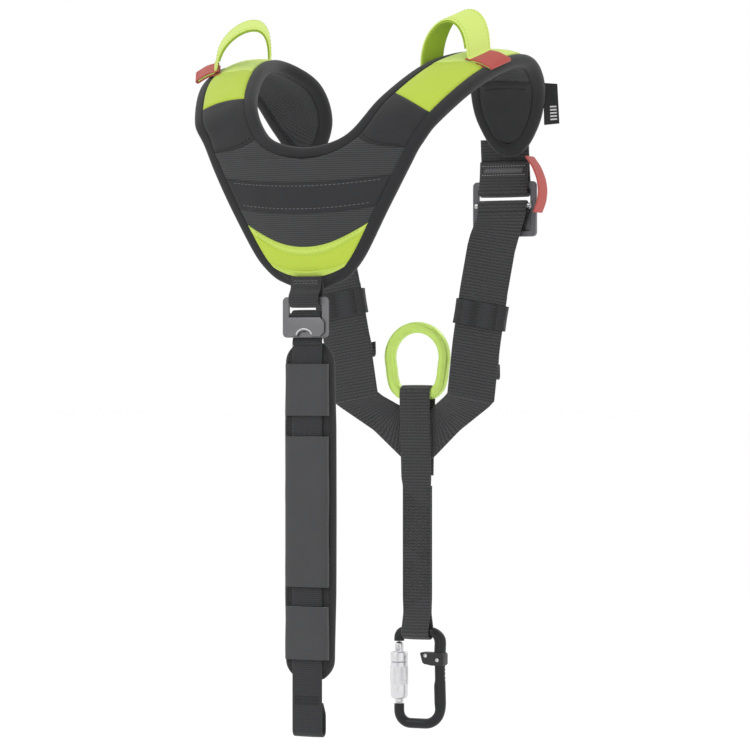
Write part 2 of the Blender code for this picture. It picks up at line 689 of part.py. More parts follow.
def build_ventral(chest):
    """The ventral strap: it turns over the ring's bar, runs down both faces of the gusset, and
    turns round the connector's top bar."""
    y = GUSSET_Y
    over = arc((y, RING_BAR_Z), RING_RADIUS + 0.0006 + THIN / 2, 0, 180, 10)
    under = arc((y, CONNECTOR_TOP), CONNECTOR_RADIUS + 0.0006 + THIN / 2, 180, 360, 10)
    close = THIN + GAP + 0.0002
    beside = THIN / 2 + GAP
    upper = [(y + close, GUSSET_LOW - 0.004), (y + close, -0.345), *over, (y - close, -0.345),
             (y - close, GUSSET_LOW - 0.010), (y - beside, -0.405),
             (y - beside, CONNECTOR_TOP + 0.032)]
    lower = [(y - beside, CONNECTOR_TOP + 0.018), *under, (y + beside, CONNECTOR_TOP + 0.018)]
    back = [(y + beside, CONNECTOR_TOP + 0.032), (y + beside, -0.405)]
    run = upper + lower + back
    full = VENTRAL_WIDTH / 2
    halves = [full] * len(upper) + [VENTRAL_EYE_WIDTH / 2] * len(lower) + [full] * len(back)
    band("ventral_strap", [(0, a, b) for a, b in run], [(half, 0, 0) for half in halves], THIN,
         "webbing", chest)


def build_ring(body):
    """A pear-shaped ring: a wide arch over a short straight bar."""
    crown = arc((0, -0.2765), 0.0290, -15, 195, 22)
    right = [(0.0265, -0.2970), (0.0240, -0.3055)]
    outline = [(0.0175, RING_BAR_Z), *reversed(right), *crown,
               *[(-x, z) for x, z in right], (-0.0175, RING_BAR_Z)]
    path = [(x, GUSSET_Y, z) for x, z in outline]
    add("ring", wire("ring", path, RING_RADIUS, cyclic=True), "ring_metal", body)


def build_connector(chest):
    body = pivot("connector_hinge", (CONNECTOR_X, GUSSET_Y, CONNECTOR_TOP), chest)
    right = CONNECTOR_X + CONNECTOR_HALF
    near_round = 0.006
    top_round = 0.010
    low_round = 0.016
    outline = [(GATE_X, -0.5540),
               *arc((GATE_X + near_round, CONNECTOR_TOP - near_round), near_round, 180, 90, 5),
               *arc((right - top_round, CONNECTOR_TOP - top_round), top_round, 90, 0, 6),
               (right - 0.0010, -0.5800),
               *arc((right - low_round, CONNECTOR_LOW + low_round), low_round, 0, -90, 7),
               *arc((GATE_X + low_round - 0.004, CONNECTOR_LOW + 0.012), 0.012, -90, -180, 6),
               (GATE_X, GATE_LOW - 0.0012)]
    path = [(x, GUSSET_Y, z) for x, z in outline]
    add("connector_body", wire("connector_body", path, CONNECTOR_RADIUS), "connector_metal", body)
    keeper = [(0.0045, -0.5660), (0.0165, -0.5660), (0.0165, -0.5760), (0.0075, -0.5745)]
    add("connector_keeper", flat_curve("connector_keeper", [keeper], 0.0045), "plastic", body,
        Matrix.Translation((0.0015, GUSSET_Y, 0)) @ UPRIGHT)
    build_gate(body)


def build_gate(connector):
    gate = pivot("gate_hinge", (GATE_X, GUSSET_Y, GATE_PIVOT_Z), connector)
    length = GATE_TOP - GATE_LOW
    shaft = 0.0043
    place = Matrix.Translation((GATE_X, GUSSET_Y, GATE_LOW))
    profile = [(0, length), (0.0018, length), (shaft, length - 0.0028), (shaft, 0), (0, 0)]
    turned("gate", profile, "connector_metal", gate, place)
    face = Matrix.Translation((GATE_X, GUSSET_Y - shaft - GAP, GATE_PIVOT_Z + 0.0012))
    head = [(0, 0.0006), (0.0022, 0.0006), (0.0026, 0), (0, 0)]
    turned("gate_rivet", head, "sleeve_metal", gate, face @ Matrix.Rotation(math.pi / 2, 4, "X"),
           12)
    collar = pivot("collar_slide", (GATE_X, GUSSET_Y, COLLAR_LOW), gate)
    build_tube("sleeve_collar", collar, SLEEVE_TOP, COLLAR_LOW + GAP, SLEEVE_RADIUS - 0.0006,
               COLLAR_BORE)
    twist = pivot("sleeve_twist", (GATE_X, GUSSET_Y, SLEEVE_LOW), collar)
    build_tube("locking_sleeve", twist, COLLAR_LOW, SLEEVE_LOW, SLEEVE_RADIUS, SLEEVE_BORE)


def build_tube(name, body, top, low, radius, bore):
    height = top - low
    profile = [(bore, height), (radius - 0.0006, height), (radius, height - 0.0006),
               (radius, 0.0006), (radius - 0.0006, 0), (bore, 0)]
    turned(name, profile, "sleeve_metal", body, Matrix.Translation((GATE_X, GUSSET_Y, low)), 20)


def build_front():
    build_front_hangers()
    for side, sign in (("left", -1), ("right", 1)):
        bar = Vector((sign * FRONT_BAR.x, FRONT_BAR.y, FRONT_BAR.z))
        build_buckle(side, bar, FRONT_WIDTH, FRONT_BUCKLE_HEIGHT, 1)
    chest = pivot("chest_slide", (0, GUSSET_Y, -0.315))
    for side, sign in (("left", -1), ("right", 1)):
        half = build_front_strap(side, sign, chest)
        build_keeper(side, sign, half)
    build_gusset(chest)
    build_ventral(chest)
    build_ring(pivot("ring_hinge", (0, GUSSET_Y, RING_BAR_Z), chest))
    build_connector(chest)


def main():
    build_yoke()
    build_tag()
    for side in ("left", "right"):
        build_gear_loop(side)
    build_back()
    build_front()


main()
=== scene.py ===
"""The looks of a tree climber's shoulder strap set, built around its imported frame.

The set is a padded yoke with two gear loops, a back strap with its pad and buckle, and a front
harness with two buckles, a chest ring and a locking connector. Everything is in metres, in the
frame's own axes: the wearer looks along +Y, +X is the wearer's right and +Z is up.
"""

import json
import logging
import math
from collections.abc import Sequence
from dataclasses import dataclass
from enum import Enum

import bmesh
import bpy
import numpy as np
from mathutils import Matrix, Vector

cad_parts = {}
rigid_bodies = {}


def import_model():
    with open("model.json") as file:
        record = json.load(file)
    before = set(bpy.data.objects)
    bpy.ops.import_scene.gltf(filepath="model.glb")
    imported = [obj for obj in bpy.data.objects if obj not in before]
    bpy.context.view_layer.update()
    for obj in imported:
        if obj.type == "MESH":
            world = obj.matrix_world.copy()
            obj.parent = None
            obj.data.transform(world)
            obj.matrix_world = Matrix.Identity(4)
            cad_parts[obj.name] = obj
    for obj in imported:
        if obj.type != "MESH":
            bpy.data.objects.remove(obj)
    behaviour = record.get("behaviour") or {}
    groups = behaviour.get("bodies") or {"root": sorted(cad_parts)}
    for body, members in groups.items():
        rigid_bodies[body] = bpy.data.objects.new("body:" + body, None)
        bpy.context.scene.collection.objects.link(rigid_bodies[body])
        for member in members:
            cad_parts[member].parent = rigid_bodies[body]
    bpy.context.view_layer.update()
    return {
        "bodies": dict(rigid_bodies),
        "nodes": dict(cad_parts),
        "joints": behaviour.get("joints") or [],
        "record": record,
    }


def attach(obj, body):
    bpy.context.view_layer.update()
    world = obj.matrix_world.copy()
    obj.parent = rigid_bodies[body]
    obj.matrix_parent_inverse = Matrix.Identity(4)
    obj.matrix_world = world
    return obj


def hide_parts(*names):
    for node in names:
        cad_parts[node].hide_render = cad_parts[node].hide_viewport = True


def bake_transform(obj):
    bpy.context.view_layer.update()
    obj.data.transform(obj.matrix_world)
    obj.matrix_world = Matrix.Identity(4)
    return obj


Array = np.ndarray
Socket = bpy.types.NodeSocket
Body = bpy.types.Object

for startup_object in list(bpy.data.objects):
    bpy.data.objects.remove(startup_object)
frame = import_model()
LOG = logging.getLogger("strap_set")
SIDES = (("left", -1.0), ("right", 1.0))
SMOOTH_ANGLE = math.radians(42)


# ---------------------------------------------------------------- finishes


class Weave(Enum):
    """How a cloth's threads lie."""

    PLAIN = "plain"
    RIBBED = "ribbed"
    WEBBING = "webbing"
    SPACER = "spacer"
    FELT = "felt"
    TAPE = "tape"
    FLEECE = "fleece"


class Surface(Enum):
    """How a hard piece is worked."""

    BRUSHED = "brushed"
    ANODISED = "anodised"
    TURNED = "turned"
    MOULDED = "moulded"


class Graph:
    """A material's node tree, with short calls that add a node and link it."""

    def __init__(self, name: str) -> None:
        """Makes the material and finds its shader."""
        self.material = bpy.data.materials.new(name)
        self.material.use_nodes = True
        self.tree = self.material.node_tree
        self.shader = self.tree.nodes["Principled BSDF"]

    def feed(self, socket: Socket, value: object) -> None:
        """Links a socket, or sets a plain value on it."""
        if isinstance(value, Socket):
            self.tree.links.new(value, socket)
        else:
            socket.default_value = value

    def math(self, operation: str, *values: object) -> Socket:
        """Adds a Math node and returns its result."""
        node = self.tree.nodes.new("ShaderNodeMath")
        node.operation = operation
        for socket, value in zip(node.inputs, values):
            self.feed(socket, value)
        return node.outputs[0]

    def mix(self, share: object, low: object, high: object) -> Socket:
        """Adds a colour mix and returns its result."""
        node = self.tree.nodes.new("ShaderNodeMix")
        node.data_type = "RGBA"
        self.feed(node.inputs[0], share)
        self.feed(node.inputs[6], low)
        self.feed(node.inputs[7], high)
        return node.outputs[2]

    def place(self, output: str = "Object") -> Socket:
        """The coordinates a pattern reads: Object ones, or the piece's own UV map."""
        return self.tree.nodes.new("ShaderNodeTexCoord").outputs[output]

    def noise(self, place: Socket, scale: float, detail: float = 2.0) -> Socket:
        """Adds a noise texture and returns its height, from 0 to 1."""
        node = self.tree.nodes.new("ShaderNodeTexNoise")
        self.feed(node.inputs["Vector"], place)
        node.inputs["Scale"].default_value = scale
        node.inputs["Detail"].default_value = detail
        return node.outputs["Fac"]

    def stretched(self, place: Socket, factors: Sequence[float]) -> Socket:
        """Coordinates stretched by a factor on each axis."""
        node = self.tree.nodes.new("ShaderNodeMapping")
        self.feed(node.inputs["Vector"], place)
        node.inputs["Scale"].default_value = factors
        return node.outputs[0]

    def bump(self, height: Socket, distance: float) -> None:
        """Gives the shader a relief of that depth in metres."""
        node = self.tree.nodes.new("ShaderNodeBump")
        node.inputs["Strength"].default_value = 1.0
        node.inputs["Distance"].default_value = distance
        self.feed(node.inputs["Height"], height)
        self.feed(self.shader.inputs["Normal"], node.outputs[0])


def tinted(colour: Sequence[float], share: float) -> tuple[float, float, float, float]:
    """A colour scaled by a share, with full alpha."""
    return (*(min(1.0, part * share) for part in colour), 1.0)


@dataclass(frozen=True)
class Cloth:
    """A woven, knitted or felted finish. Its pattern reads the piece's UV map, in metres."""

    name: str
    slot: str
    colour: tuple[float, float, float]
    weave: Weave
    pitch: float
    relief: float
    # Share of the colour left in the weave's hollows: painted shade.
    hollow_shade: float = 0.55
    roughness: float = 0.85
    sheen: float = 0.12
    mottling: float = 0.14

    def height(self, graph: Graph, u: Socket, v: Socket, place: Socket) -> Socket:
        """Height of the threads, from 0 in the hollows to 1 on the crests.

        A thread of pitch p along an axis x has the height |sin(pi x / p)|.

        Args:
            graph: The material's node tree.
            u: Distance across the piece.
            v: Distance along the piece.
            place: Object coordinates, for noise.

        Returns:
            The height socket.
        """

        def thread(x: Socket, pitch: float) -> Socket:
            """Height of one set of threads."""
            angle = graph.math("MULTIPLY", x, math.pi / pitch)
            return graph.math("ABSOLUTE", graph.math("SINE", angle))

        def share(x: Socket, part: float) -> Socket:
            """A socket times a number."""
            return graph.math("MULTIPLY", x, part)

        if self.weave is Weave.RIBBED:
            return graph.math("ADD", share(thread(v, self.pitch), 0.8),
                              share(thread(u, self.pitch * 0.45), 0.2))
        if self.weave in (Weave.WEBBING, Weave.TAPE):
            column = graph.math("FLOOR", share(u, 1 / (self.pitch * 0.8)))
            odd = graph.math("PINGPONG", column, 1.0)
            ribbed = self.weave is Weave.WEBBING
            staggered = graph.math("ADD", v, share(odd, self.pitch * (0.16 if ribbed else 0.42)))
            part = 0.8 if ribbed else 0.55
            return graph.math("ADD", share(thread(staggered, self.pitch), part),
                              share(thread(u, self.pitch * 0.8), 1 - part))
        if self.weave is Weave.SPACER:
            row = graph.math("FLOOR", share(v, 1 / self.pitch))
            shift = share(graph.math("PINGPONG", row, 1.0), 0.5)
            across = graph.math("FRACT", graph.math("ADD", share(u, 1 / self.pitch), shift))
            along = graph.math("FRACT", share(v, 1 / self.pitch))
            du = graph.math("SUBTRACT", across, 0.5)
            dv = graph.math("SUBTRACT", along, 0.5)
            square = graph.math("ADD", graph.math("MULTIPLY", du, du),
                                graph.math("MULTIPLY", dv, dv))
            rim = graph.math("MULTIPLY", graph.math("SUBTRACT", square, 0.035), 14.0)
            rim.node.use_clamp = True
            return rim
        if self.weave in (Weave.FELT, Weave.FLEECE):
            fine = graph.noise(place, 1.0 / self.pitch, 4.0)
            if self.weave is Weave.FELT:
                return fine
            return graph.math("ADD", share(fine, 0.6), share(thread(v, self.pitch * 2), 0.4))
        return graph.math("ADD", share(thread(u, self.pitch), 0.5),
                          share(thread(v, self.pitch), 0.5))

    def build(self) -> bpy.types.Material:
        """Makes the material: threads with painted shade in their hollows, mottling, relief and a
        soft sheen.
        """
        graph = Graph(self.name)
        place = graph.place()
        split = graph.tree.nodes.new("ShaderNodeSeparateXYZ")
        graph.feed(split.inputs[0], graph.place("UV"))
        height = self.height(graph, split.outputs[0], split.outputs[1], place)
        # Painted shade: the colour darkens towards the hollow share of itself in the weave's
        # hollows.
        threads = graph.mix(height, tinted(self.colour, self.hollow_shade), tinted(self.colour, 1.0))
        cloud = graph.math("MULTIPLY", graph.noise(place, 55.0, 3.0), self.mottling * 2)
        graph.feed(graph.shader.inputs["Base Color"],
                   graph.mix(cloud, threads, tinted(self.colour, 1.35)))
        shine = graph.math("ADD", graph.math("MULTIPLY", height, -0.12), self.roughness)
        graph.feed(graph.shader.inputs["Roughness"], shine)
        graph.shader.inputs["Sheen Weight"].default_value = self.sheen
        graph.shader.inputs["Sheen Roughness"].default_value = 0.5
        graph.shader.inputs["Specular IOR Level"].default_value = 0.25
        graph.bump(height, self.relief)
        return graph.material


@dataclass(frozen=True)
class Hard:
    """A metal or plastic finish, worked in one of a few ways."""

    name: str
    slot: str
    colour: tuple[float, float, float]
    surface: Surface
    roughness: float
    metallic: float
    relief: float = 0.00002
    coat: float = 0.0

    def build(self) -> bpy.types.Material:
        """Makes the material: fine working marks, handling wear and uneven gloss."""
        graph = Graph(self.name)
        place = graph.place()
        stretch = {Surface.BRUSHED: (60, 60, 900), Surface.TURNED: (90, 90, 2600),
                   Surface.ANODISED: (500, 500, 500), Surface.MOULDED: (1400, 1400, 1400)}
        marks = graph.noise(graph.stretched(place, stretch[self.surface]), 1.0, 3.0)
        wear = graph.noise(place, 240.0, 4.0)
        lighter = tinted(self.colour, 1.3)
        graph.feed(graph.shader.inputs["Base Color"],
                   graph.mix(graph.math("MULTIPLY", wear, 0.45), tinted(self.colour, 0.9), lighter))
        gloss = graph.math("ADD", graph.math("MULTIPLY", marks, 0.18), self.roughness - 0.06)
        graph.feed(graph.shader.inputs["Roughness"], gloss)
        graph.shader.inputs["Metallic"].default_value = self.metallic
        graph.shader.inputs["Coat Weight"].default_value = self.coat
        graph.bump(marks, self.relief)
        return graph.material


LIME = (0.48, 0.62, 0.06)
FINISHES = {
    "smooth_cloth": Cloth("black_smooth_cloth", "pad_fabric", (0.026, 0.0265, 0.028), Weave.PLAIN,
                          0.0005, 0.00004, 0.8),
    "ribbed_cloth": Cloth("black_ribbed_cloth", "mesh_fabric", (0.060, 0.061, 0.063), Weave.RIBBED,
                          0.0019, 0.0005, 0.2, mottling=0.08),
    "spacer_mesh": Cloth("black_spacer_mesh", "mesh_fabric", (0.042, 0.043, 0.045), Weave.SPACER,
                         0.0026, 0.0005, 0.25),
    "binding": Cloth("black_binding", "binding", (0.022, 0.0225, 0.024), Weave.TAPE, 0.0006,
                     0.00006, 0.75),
    "webbing": Cloth("black_webbing", "webbing", (0.038, 0.039, 0.041), Weave.WEBBING, 0.0019,
                     0.00055, 0.3, sheen=0.18),
    "strap_webbing": Cloth("black_strap_webbing", "webbing", (0.056, 0.057, 0.059), Weave.WEBBING,
                           0.0030, 0.0009, 0.22, sheen=0.2),
    "felt": Cloth("charcoal_felt", "felt", (0.060, 0.061, 0.063), Weave.FELT, 0.0012, 0.00012, 0.7,
                  0.95, 0.3),
    "lime_cloth": Cloth("lime_cloth", "lime_fabric", LIME, Weave.PLAIN, 0.0006, 0.00005, 0.86,
                        0.7, 0.1, 0.05),
    "lime_edging": Cloth("lime_edging", "lime_fabric", (0.58, 0.74, 0.13), Weave.TAPE, 0.0009,
                         0.00012, 0.8, 0.75, 0.1, 0.05),
    "lime_band": Cloth("pale_lime_band", "lime_webbing", (0.66, 0.82, 0.20), Weave.FLEECE, 0.0009,
                       0.00012, 0.85, 0.8, 0.1, 0.05),
    # A darker copy of the pale band for the loops' undersides: painted shade.
    "lime_band_shade": Cloth("shaded_lime_band", "lime_webbing", (0.34, 0.50, 0.035), Weave.FLEECE,
                              0.0007, 0.0002, 0.7, 0.85, 0.1, 0.08),
    "red_tape": Cloth("red_tape", "red_webbing", (0.50, 0.085, 0.07), Weave.TAPE, 0.0009, 0.00015,
                      0.7, 0.75, 0.15, 0.08),
    "black_thread": Cloth("black_thread", "binding", (0.012, 0.012, 0.013), Weave.PLAIN, 0.0006,
                          0.00003, 0.8, 0.6),
    "grey_thread": Cloth("grey_thread", "webbing", (0.13, 0.13, 0.135), Weave.PLAIN, 0.0006,
                         0.00003, 0.8, 0.6),
    "lime_thread": Cloth("lime_thread", "lime_fabric", (0.45, 0.62, 0.06), Weave.PLAIN, 0.0006,
                         0.00003, 0.8, 0.6),
    "white_thread": Cloth("white_thread", "webbing", (0.62, 0.62, 0.62), Weave.PLAIN, 0.0006,
                          0.00003, 0.8, 0.6),
    "buckle_metal": Hard("grey_buckle_metal", "buckle_metal", (0.19, 0.19, 0.20), Surface.BRUSHED,
                         0.42, 0.9),
    "ring_metal": Hard("lime_ring_metal", "ring_metal", (0.56, 0.78, 0.16), Surface.ANODISED,
                       0.36, 0.45, 0.000004, coat=0.2),
    "connector_metal": Hard("black_connector_metal", "connector_metal", (0.016, 0.0165, 0.018),
                            Surface.ANODISED, 0.32, 0.6, coat=0.15),
    "sleeve_metal": Hard("silver_sleeve_metal", "sleeve_metal", (0.74, 0.74, 0.75), Surface.TURNED,
                         0.34, 0.85, 0.00004),
    "steel": Hard("rivet_steel", "sleeve_metal", (0.62, 0.62, 0.63), Surface.TURNED, 0.3, 1.0),
    "plastic": Hard("black_plastic", "plastic", (0.014, 0.014, 0.015), Surface.MOULDED, 0.45, 0.0),
}
MADE: dict[str, bpy.types.Material] = {}


def material_of(finish: str) -> bpy.types.Material:
    """The material of a finish, made once."""
    if finish not in MADE:
        MADE[finish] = FINISHES[finish].build()
    return MADE[finish]


# ---------------------------------------------------------------- meshes


def unit(vectors: Array) -> Array:
    """Vectors of length one, along the last axis."""
    return vectors / np.maximum(np.linalg.norm(vectors, axis=-1, keepdims=True), 1e-12)


def smooth_step(low: float, high: float, x: Array) -> Array:
    """Zero below low, one above high, and 3t^2 - 2t^3 in between."""
    t = np.clip((np.asarray(x, float) - low) / (high - low), 0, 1)
    return t * t * (3 - 2 * t)


def arc_length(path: Array, closed: bool = False) -> Array:
    """Distance along a path at each of its points, and once round if it is closed."""
    ends = np.vstack([path, path[:1]]) if closed else path
    return np.concatenate([[0.0], np.cumsum(np.linalg.norm(np.diff(ends, axis=0), axis=1))])


def arc(centre: Sequence[float], radius: float, start: float, end: float,
        steps: int = 12) -> list[tuple[float, float]]:
    """Points of an arc in a plane, with angles in degrees from its first axis to its second."""
    angle = np.radians(np.linspace(start, end, steps + 1))
    return list(zip(centre[0] + radius * np.cos(angle), centre[1] + radius * np.sin(angle)))


def relaxed(points: Sequence[Sequence[float]], spacing: float, passes: int,
            closed: bool = False) -> Array:
    """A path read at an even spacing, then rounded by averaging each point with its neighbours.

    Args:
        points: The path's corners, in columns that can hold more than three values.
        spacing: Distance between the points made.
        passes: How often each point p becomes (before + 2 p + after) / 4.
        closed: Whether the path returns to its start.

    Returns:
        The rounded path.
    """
    corners = np.array(points, float)
    length = arc_length(corners[:, :3], closed)
    ring = np.vstack([corners, corners[:1]]) if closed else corners
    count = max(4, int(round(length[-1] / spacing)) + 1)
    at = np.linspace(0, length[-1], count, endpoint=not closed)
    path = np.stack([np.interp(at, length, column) for column in ring.T], axis=1)
    for _ in range(passes):
        if closed:
            path = (np.roll(path, 1, 0) + 2 * path + np.roll(path, -1, 0)) / 4
        else:
            path[1:-1] = (path[:-2] + 2 * path[1:-1] + path[2:]) / 4
    return path


def tangents(path: Array, closed: bool = False) -> Array:
    """Unit direction of a path at each point, from the points on both sides of it."""
    if closed:
        return unit(np.roll(path, -1, 0) - np.roll(path, 1, 0))
    return unit(np.gradient(path, axis=0))


def eased(count: int, ends: float = 1.0) -> Array:
    """Numbers from 0 to 1 that crowd towards both ends, as (1 - cos(pi t)) / 2 does."""
    t = np.linspace(0, 1, count)
    return t * (1 - ends) + ends * (1 - np.cos(np.pi * t)) / 2


def grid_piece(name: str, points: Array, finish: str, uv: Array | None = None,
               closed_along: bool = False) -> Body:
    """A closed shell from rows of points, each row a ring round the piece.

    Args:
        name: The piece's name.
        points: Rows along the piece by points round it by three coordinates.
        finish: The finish's name.
        uv: The cloth's coordinates in metres, with one column more than there are points round.
        closed_along: Whether the last row joins the first, as in a ring; else the ends are capped.

    Returns:
        The object, at the origin.
    """
    rows, ring = points.shape[:2]
    spans = rows if closed_along else rows - 1
    i, j = np.meshgrid(np.arange(spans), np.arange(ring), indexing="ij")
    after_i, after_j = (i + 1) % rows, (j + 1) % ring
    quads = np.stack([i * ring + j, i * ring + after_j, after_i * ring + after_j,
                      after_i * ring + j], axis=-1).reshape(-1, 4)
    faces = quads.tolist()
    if uv is None:
        uv = path_uv(points, closed_along)
    corners = [uv[i, j], uv[i, j + 1], uv[i + 1, j + 1], uv[i + 1, j]]
    loops = np.stack(corners, axis=-2).reshape(-1, 2)
    if not closed_along:
        faces += [list(range(ring))[::-1], list(range((rows - 1) * ring, rows * ring))]
        loops = np.vstack([loops, uv[0, :ring][::-1], uv[-1, :ring]])
    mesh = bpy.data.meshes.new(name)
    mesh.from_pydata(points.reshape(-1, 3), [], faces)
    mesh.uv_layers.new(name="cloth").data.foreach_set("uv", loops.astype(np.float32).ravel())
    return finished(mesh, finish)


def path_uv(points: Array, closed_along: bool) -> Array:
    """Coordinates in metres: distance round each ring, and mean distance along the rings."""
    rows = len(points)
    ring = np.concatenate([points, points[:, :1]], axis=1)
    u = np.cumsum(np.linalg.norm(np.diff(ring, axis=1), axis=2), axis=1)
    u = np.concatenate([np.zeros((rows, 1)), u], axis=1)
    v = arc_length(points.mean(axis=1), closed_along)
    if closed_along:
        u = np.vstack([u, u[:1]])
    return np.stack([u, np.broadcast_to(v[:, None], u.shape)], axis=-1)


def finished(mesh: bpy.types.Mesh, finish: str) -> Body:
    """Turns the faces outwards, shades them smooth and makes the object."""
    shape = bmesh.new()
    shape.from_mesh(mesh)
    bmesh.ops.remove_doubles(shape, verts=shape.verts, dist=1e-7)
    bmesh.ops.recalc_face_normals(shape, faces=shape.faces)
    shape.to_mesh(mesh)
    shape.free()
    mesh.shade_smooth()
    mesh.set_sharp_from_angle(angle=SMOOTH_ANGLE)
    mesh.materials.append(material_of(finish))
    obj = bpy.data.objects.new(mesh.name, mesh)
    bpy.context.scene.collection.objects.link(obj)
    return obj


def settle(obj: Body, body: str, nodes: Sequence[str] = ()) -> Body:
    """Rides a piece on a body and hides the nodes it stands for."""
    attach(obj, body)
    if nodes:
        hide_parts(*nodes)
    LOG.info("%s rides on %s, %d faces", obj.name, body, len(obj.data.polygons))
    return obj


def tape_section(half: Array, thickness: float, bulge: float = 0.0) -> tuple[Array, Array]:
    """Section of webbing: flat faces with rounded selvedges, and a bulge along its middle.

    Args:
        half: Half of the width at each row.
        thickness: The webbing's thickness.
        bulge: How far the faces' middles stand proud of a flat section.

    Returns:
        Offsets across and upwards, one row of points each per entry of half.
    """
    radius = thickness / 2
    turn = np.linspace(-np.pi / 2, np.pi / 2, 6)
    flat = np.linspace(1, -1, 12)[1:-1]
    half = np.asarray(half, float).reshape(-1, 1)
    inner = half - radius
    right = inner + radius * np.cos(turn)
    across = np.concatenate([right, inner * flat, -right, -inner * flat], axis=1)
    crown = bulge * (1 - flat**2)
    up = np.concatenate([radius * np.sin(turn), radius + crown, -radius * np.sin(turn),
                         -radius - crown])
    return across, np.broadcast_to(up, across.shape)


@dataclass
class Tape:
    """A length of webbing: its middle line, its half-width vectors and its thickness."""

    path: Array
    halves: Array
    thickness: float
    bulge: float = 0.0

    @classmethod
    def through(cls, rows: Sequence[Sequence[float]], thickness: float, spacing: float = 0.002,
                passes: int = 6, bulge: float = 0.0) -> "Tape":
        """A tape through rows of six numbers: a point and the half-width vector there."""
        run = relaxed(rows, spacing, passes)
        return cls(run[:, :3], run[:, 3:], thickness, bulge)

    def normals(self) -> Array:
        """Unit normals of the upper face."""
        return unit(np.cross(unit(self.halves), tangents(self.path)))

    def piece(self, name: str, finish: str) -> Body:
        """Carries the section along the path."""
        width = np.linalg.norm(self.halves, axis=1)
        across, up = tape_section(width, self.thickness, self.bulge)
        side, normal = unit(self.halves), self.normals()
        points = (self.path[:, None] + across[..., None] * side[:, None]
                  + up[..., None] * normal[:, None])
        u = np.concatenate([across, across[:, :1]], axis=1)
        v = np.broadcast_to(arc_length(self.path)[:, None], u.shape)
        return grid_piece(name, points, finish, np.stack([u, v], axis=-1))

    def at(self, along: Array, share: Array, lift: float) -> tuple[Array, Array, Array, Array]:
        """Points on a face, with the directions along it, across it and out of it.

        Args:
            along: Distances along the tape.
            share: Places across it, from -1 to 1.
            lift: Height above the upper face, or a negative depth below the lower one.

        Returns:
            Points, tangents, crossways directions and normals.
        """
        length = arc_length(self.path)
        columns = [self.path, self.halves, tangents(self.path), self.normals()]
        path, halves, run, normal = (
            np.stack([np.interp(along, length, c) for c in column.T], axis=1) for column in columns)
        face = math.copysign(self.thickness / 2, lift) + lift
        points = path + halves * np.asarray(share)[:, None] + normal * face
        return points, run, unit(halves), normal


# ---------------------------------------------------------------- stitching


@dataclass(frozen=True)
class Seam:
    """A row of stitches: how far apart they are, how long, how thick and in which thread."""

    finish: str = "black_thread"
    spacing: float = 0.0036
    length: float = 0.0026
    radius: float = 0.00036

    def piece(self, name: str, points: Array, along: Array, normal: Array) -> Body:
        """Lays one small closed thread on each point.

        A stitch is a tube of six sides whose radius is full in the middle and small at both
        ends, and which sinks at its ends by its own radius.
        """
        share = np.array([-0.5, -0.4, -0.15, 0.15, 0.4, 0.5])
        size = np.array([0.15, 0.75, 1, 1, 0.75, 0.15]) * self.radius
        sink = np.array([-1.0, -0.35, 0.1, 0.1, -0.35, -1.0]) * self.radius
        turn = np.arange(6) * np.pi / 3
        side = unit(np.cross(along, normal))
        centre = (points[:, None] + along[:, None] * (share * self.length)[:, None]
                  + normal[:, None] * sink[:, None])
        ring = (side[:, None, None] * np.cos(turn)[:, None]
                + normal[:, None, None] * np.sin(turn)[:, None])
        tubes = centre[:, :, None] + ring * size[:, None, None]
        count = len(points)
        base = np.arange(count)[:, None, None] * 36
        i, j = np.meshgrid(np.arange(5), np.arange(6), indexing="ij")
        quads = np.stack([i * 6 + j, i * 6 + (j + 1) % 6, (i + 1) * 6 + (j + 1) % 6,
                          (i + 1) * 6 + j], axis=-1).reshape(1, -1, 4)
        ends = np.stack([np.arange(6)[::-1], np.arange(30, 36)]).reshape(1, -1, 6)
        faces = (quads + base).reshape(-1, 4).tolist() + (ends + base).reshape(-1, 6).tolist()
        mesh = bpy.data.meshes.new(name)
        mesh.from_pydata(tubes.reshape(-1, 3), [], faces)
        mesh.uv_layers.new(name="cloth")
        return finished(mesh, self.finish)

    def along_path(self, name: str, path: Array, normal: Array, closed: bool = False) -> Body:
        """Stitches at an even spacing along a path, with the face's normal at each point."""
        length = arc_length(path, closed)
        run = tangents(path, closed)
        at = np.arange(self.spacing / 2, length[-1], self.spacing)
        columns = [np.vstack([c, c[:1]]) if closed else c for c in (path, run, normal)]
        points, along, up = (np.stack([np.interp(at, length, c) for c in column.T], axis=1)
                             for column in columns)
        return self.piece(name, points, unit(along), unit(up))


def joined(name: str, parts: Sequence[Body]) -> Body:
    """One object from several of the same finish."""
    shape = bmesh.new()
    for part in parts:
        shape.from_mesh(part.data)
    mesh = bpy.data.meshes.new(name)
    shape.to_mesh(mesh)
    shape.free()
    mesh.materials.append(parts[0].data.materials[0])
    mesh.set_sharp_from_angle(angle=SMOOTH_ANGLE)
    for part in parts:
        bpy.data.objects.remove(part)
    obj = bpy.data.objects.new(name, mesh)
    bpy.context.scene.collection.objects.link(obj)
    return obj


# ---------------------------------------------------------------- yoke


def rounded_through(points: Sequence[Sequence[float]], at: Array,
                    before: Sequence[float] | None = None) -> Array:
    """Catmull-Rom curve through points that stand one row apart, read at row numbers.

    Args:
        points: The points, the first at row 0.
        at: Row numbers.
        before: The point one row before the first; else the first step is repeated backwards.

    Returns:
        One point per row number.
    """
    knots = np.array(points, float)
    first = 2 * knots[0] - knots[1] if before is None else np.array(before, float)
    full = np.vstack([first, knots, 2 * knots[-1] - knots[-2]])
    at = np.clip(at, 0, len(knots) - 1)
    row = np.minimum(at.astype(int), len(knots) - 2)
    t = (at - row)[:, None]
    a, b, c, d = (full[row + k] for k in range(4))
    return b + 0.5 * ((c - a) * t + (2 * a - 5 * b + 4 * c - d) * t**2
                      + (3 * b - a - 3 * c + d) * t**3)


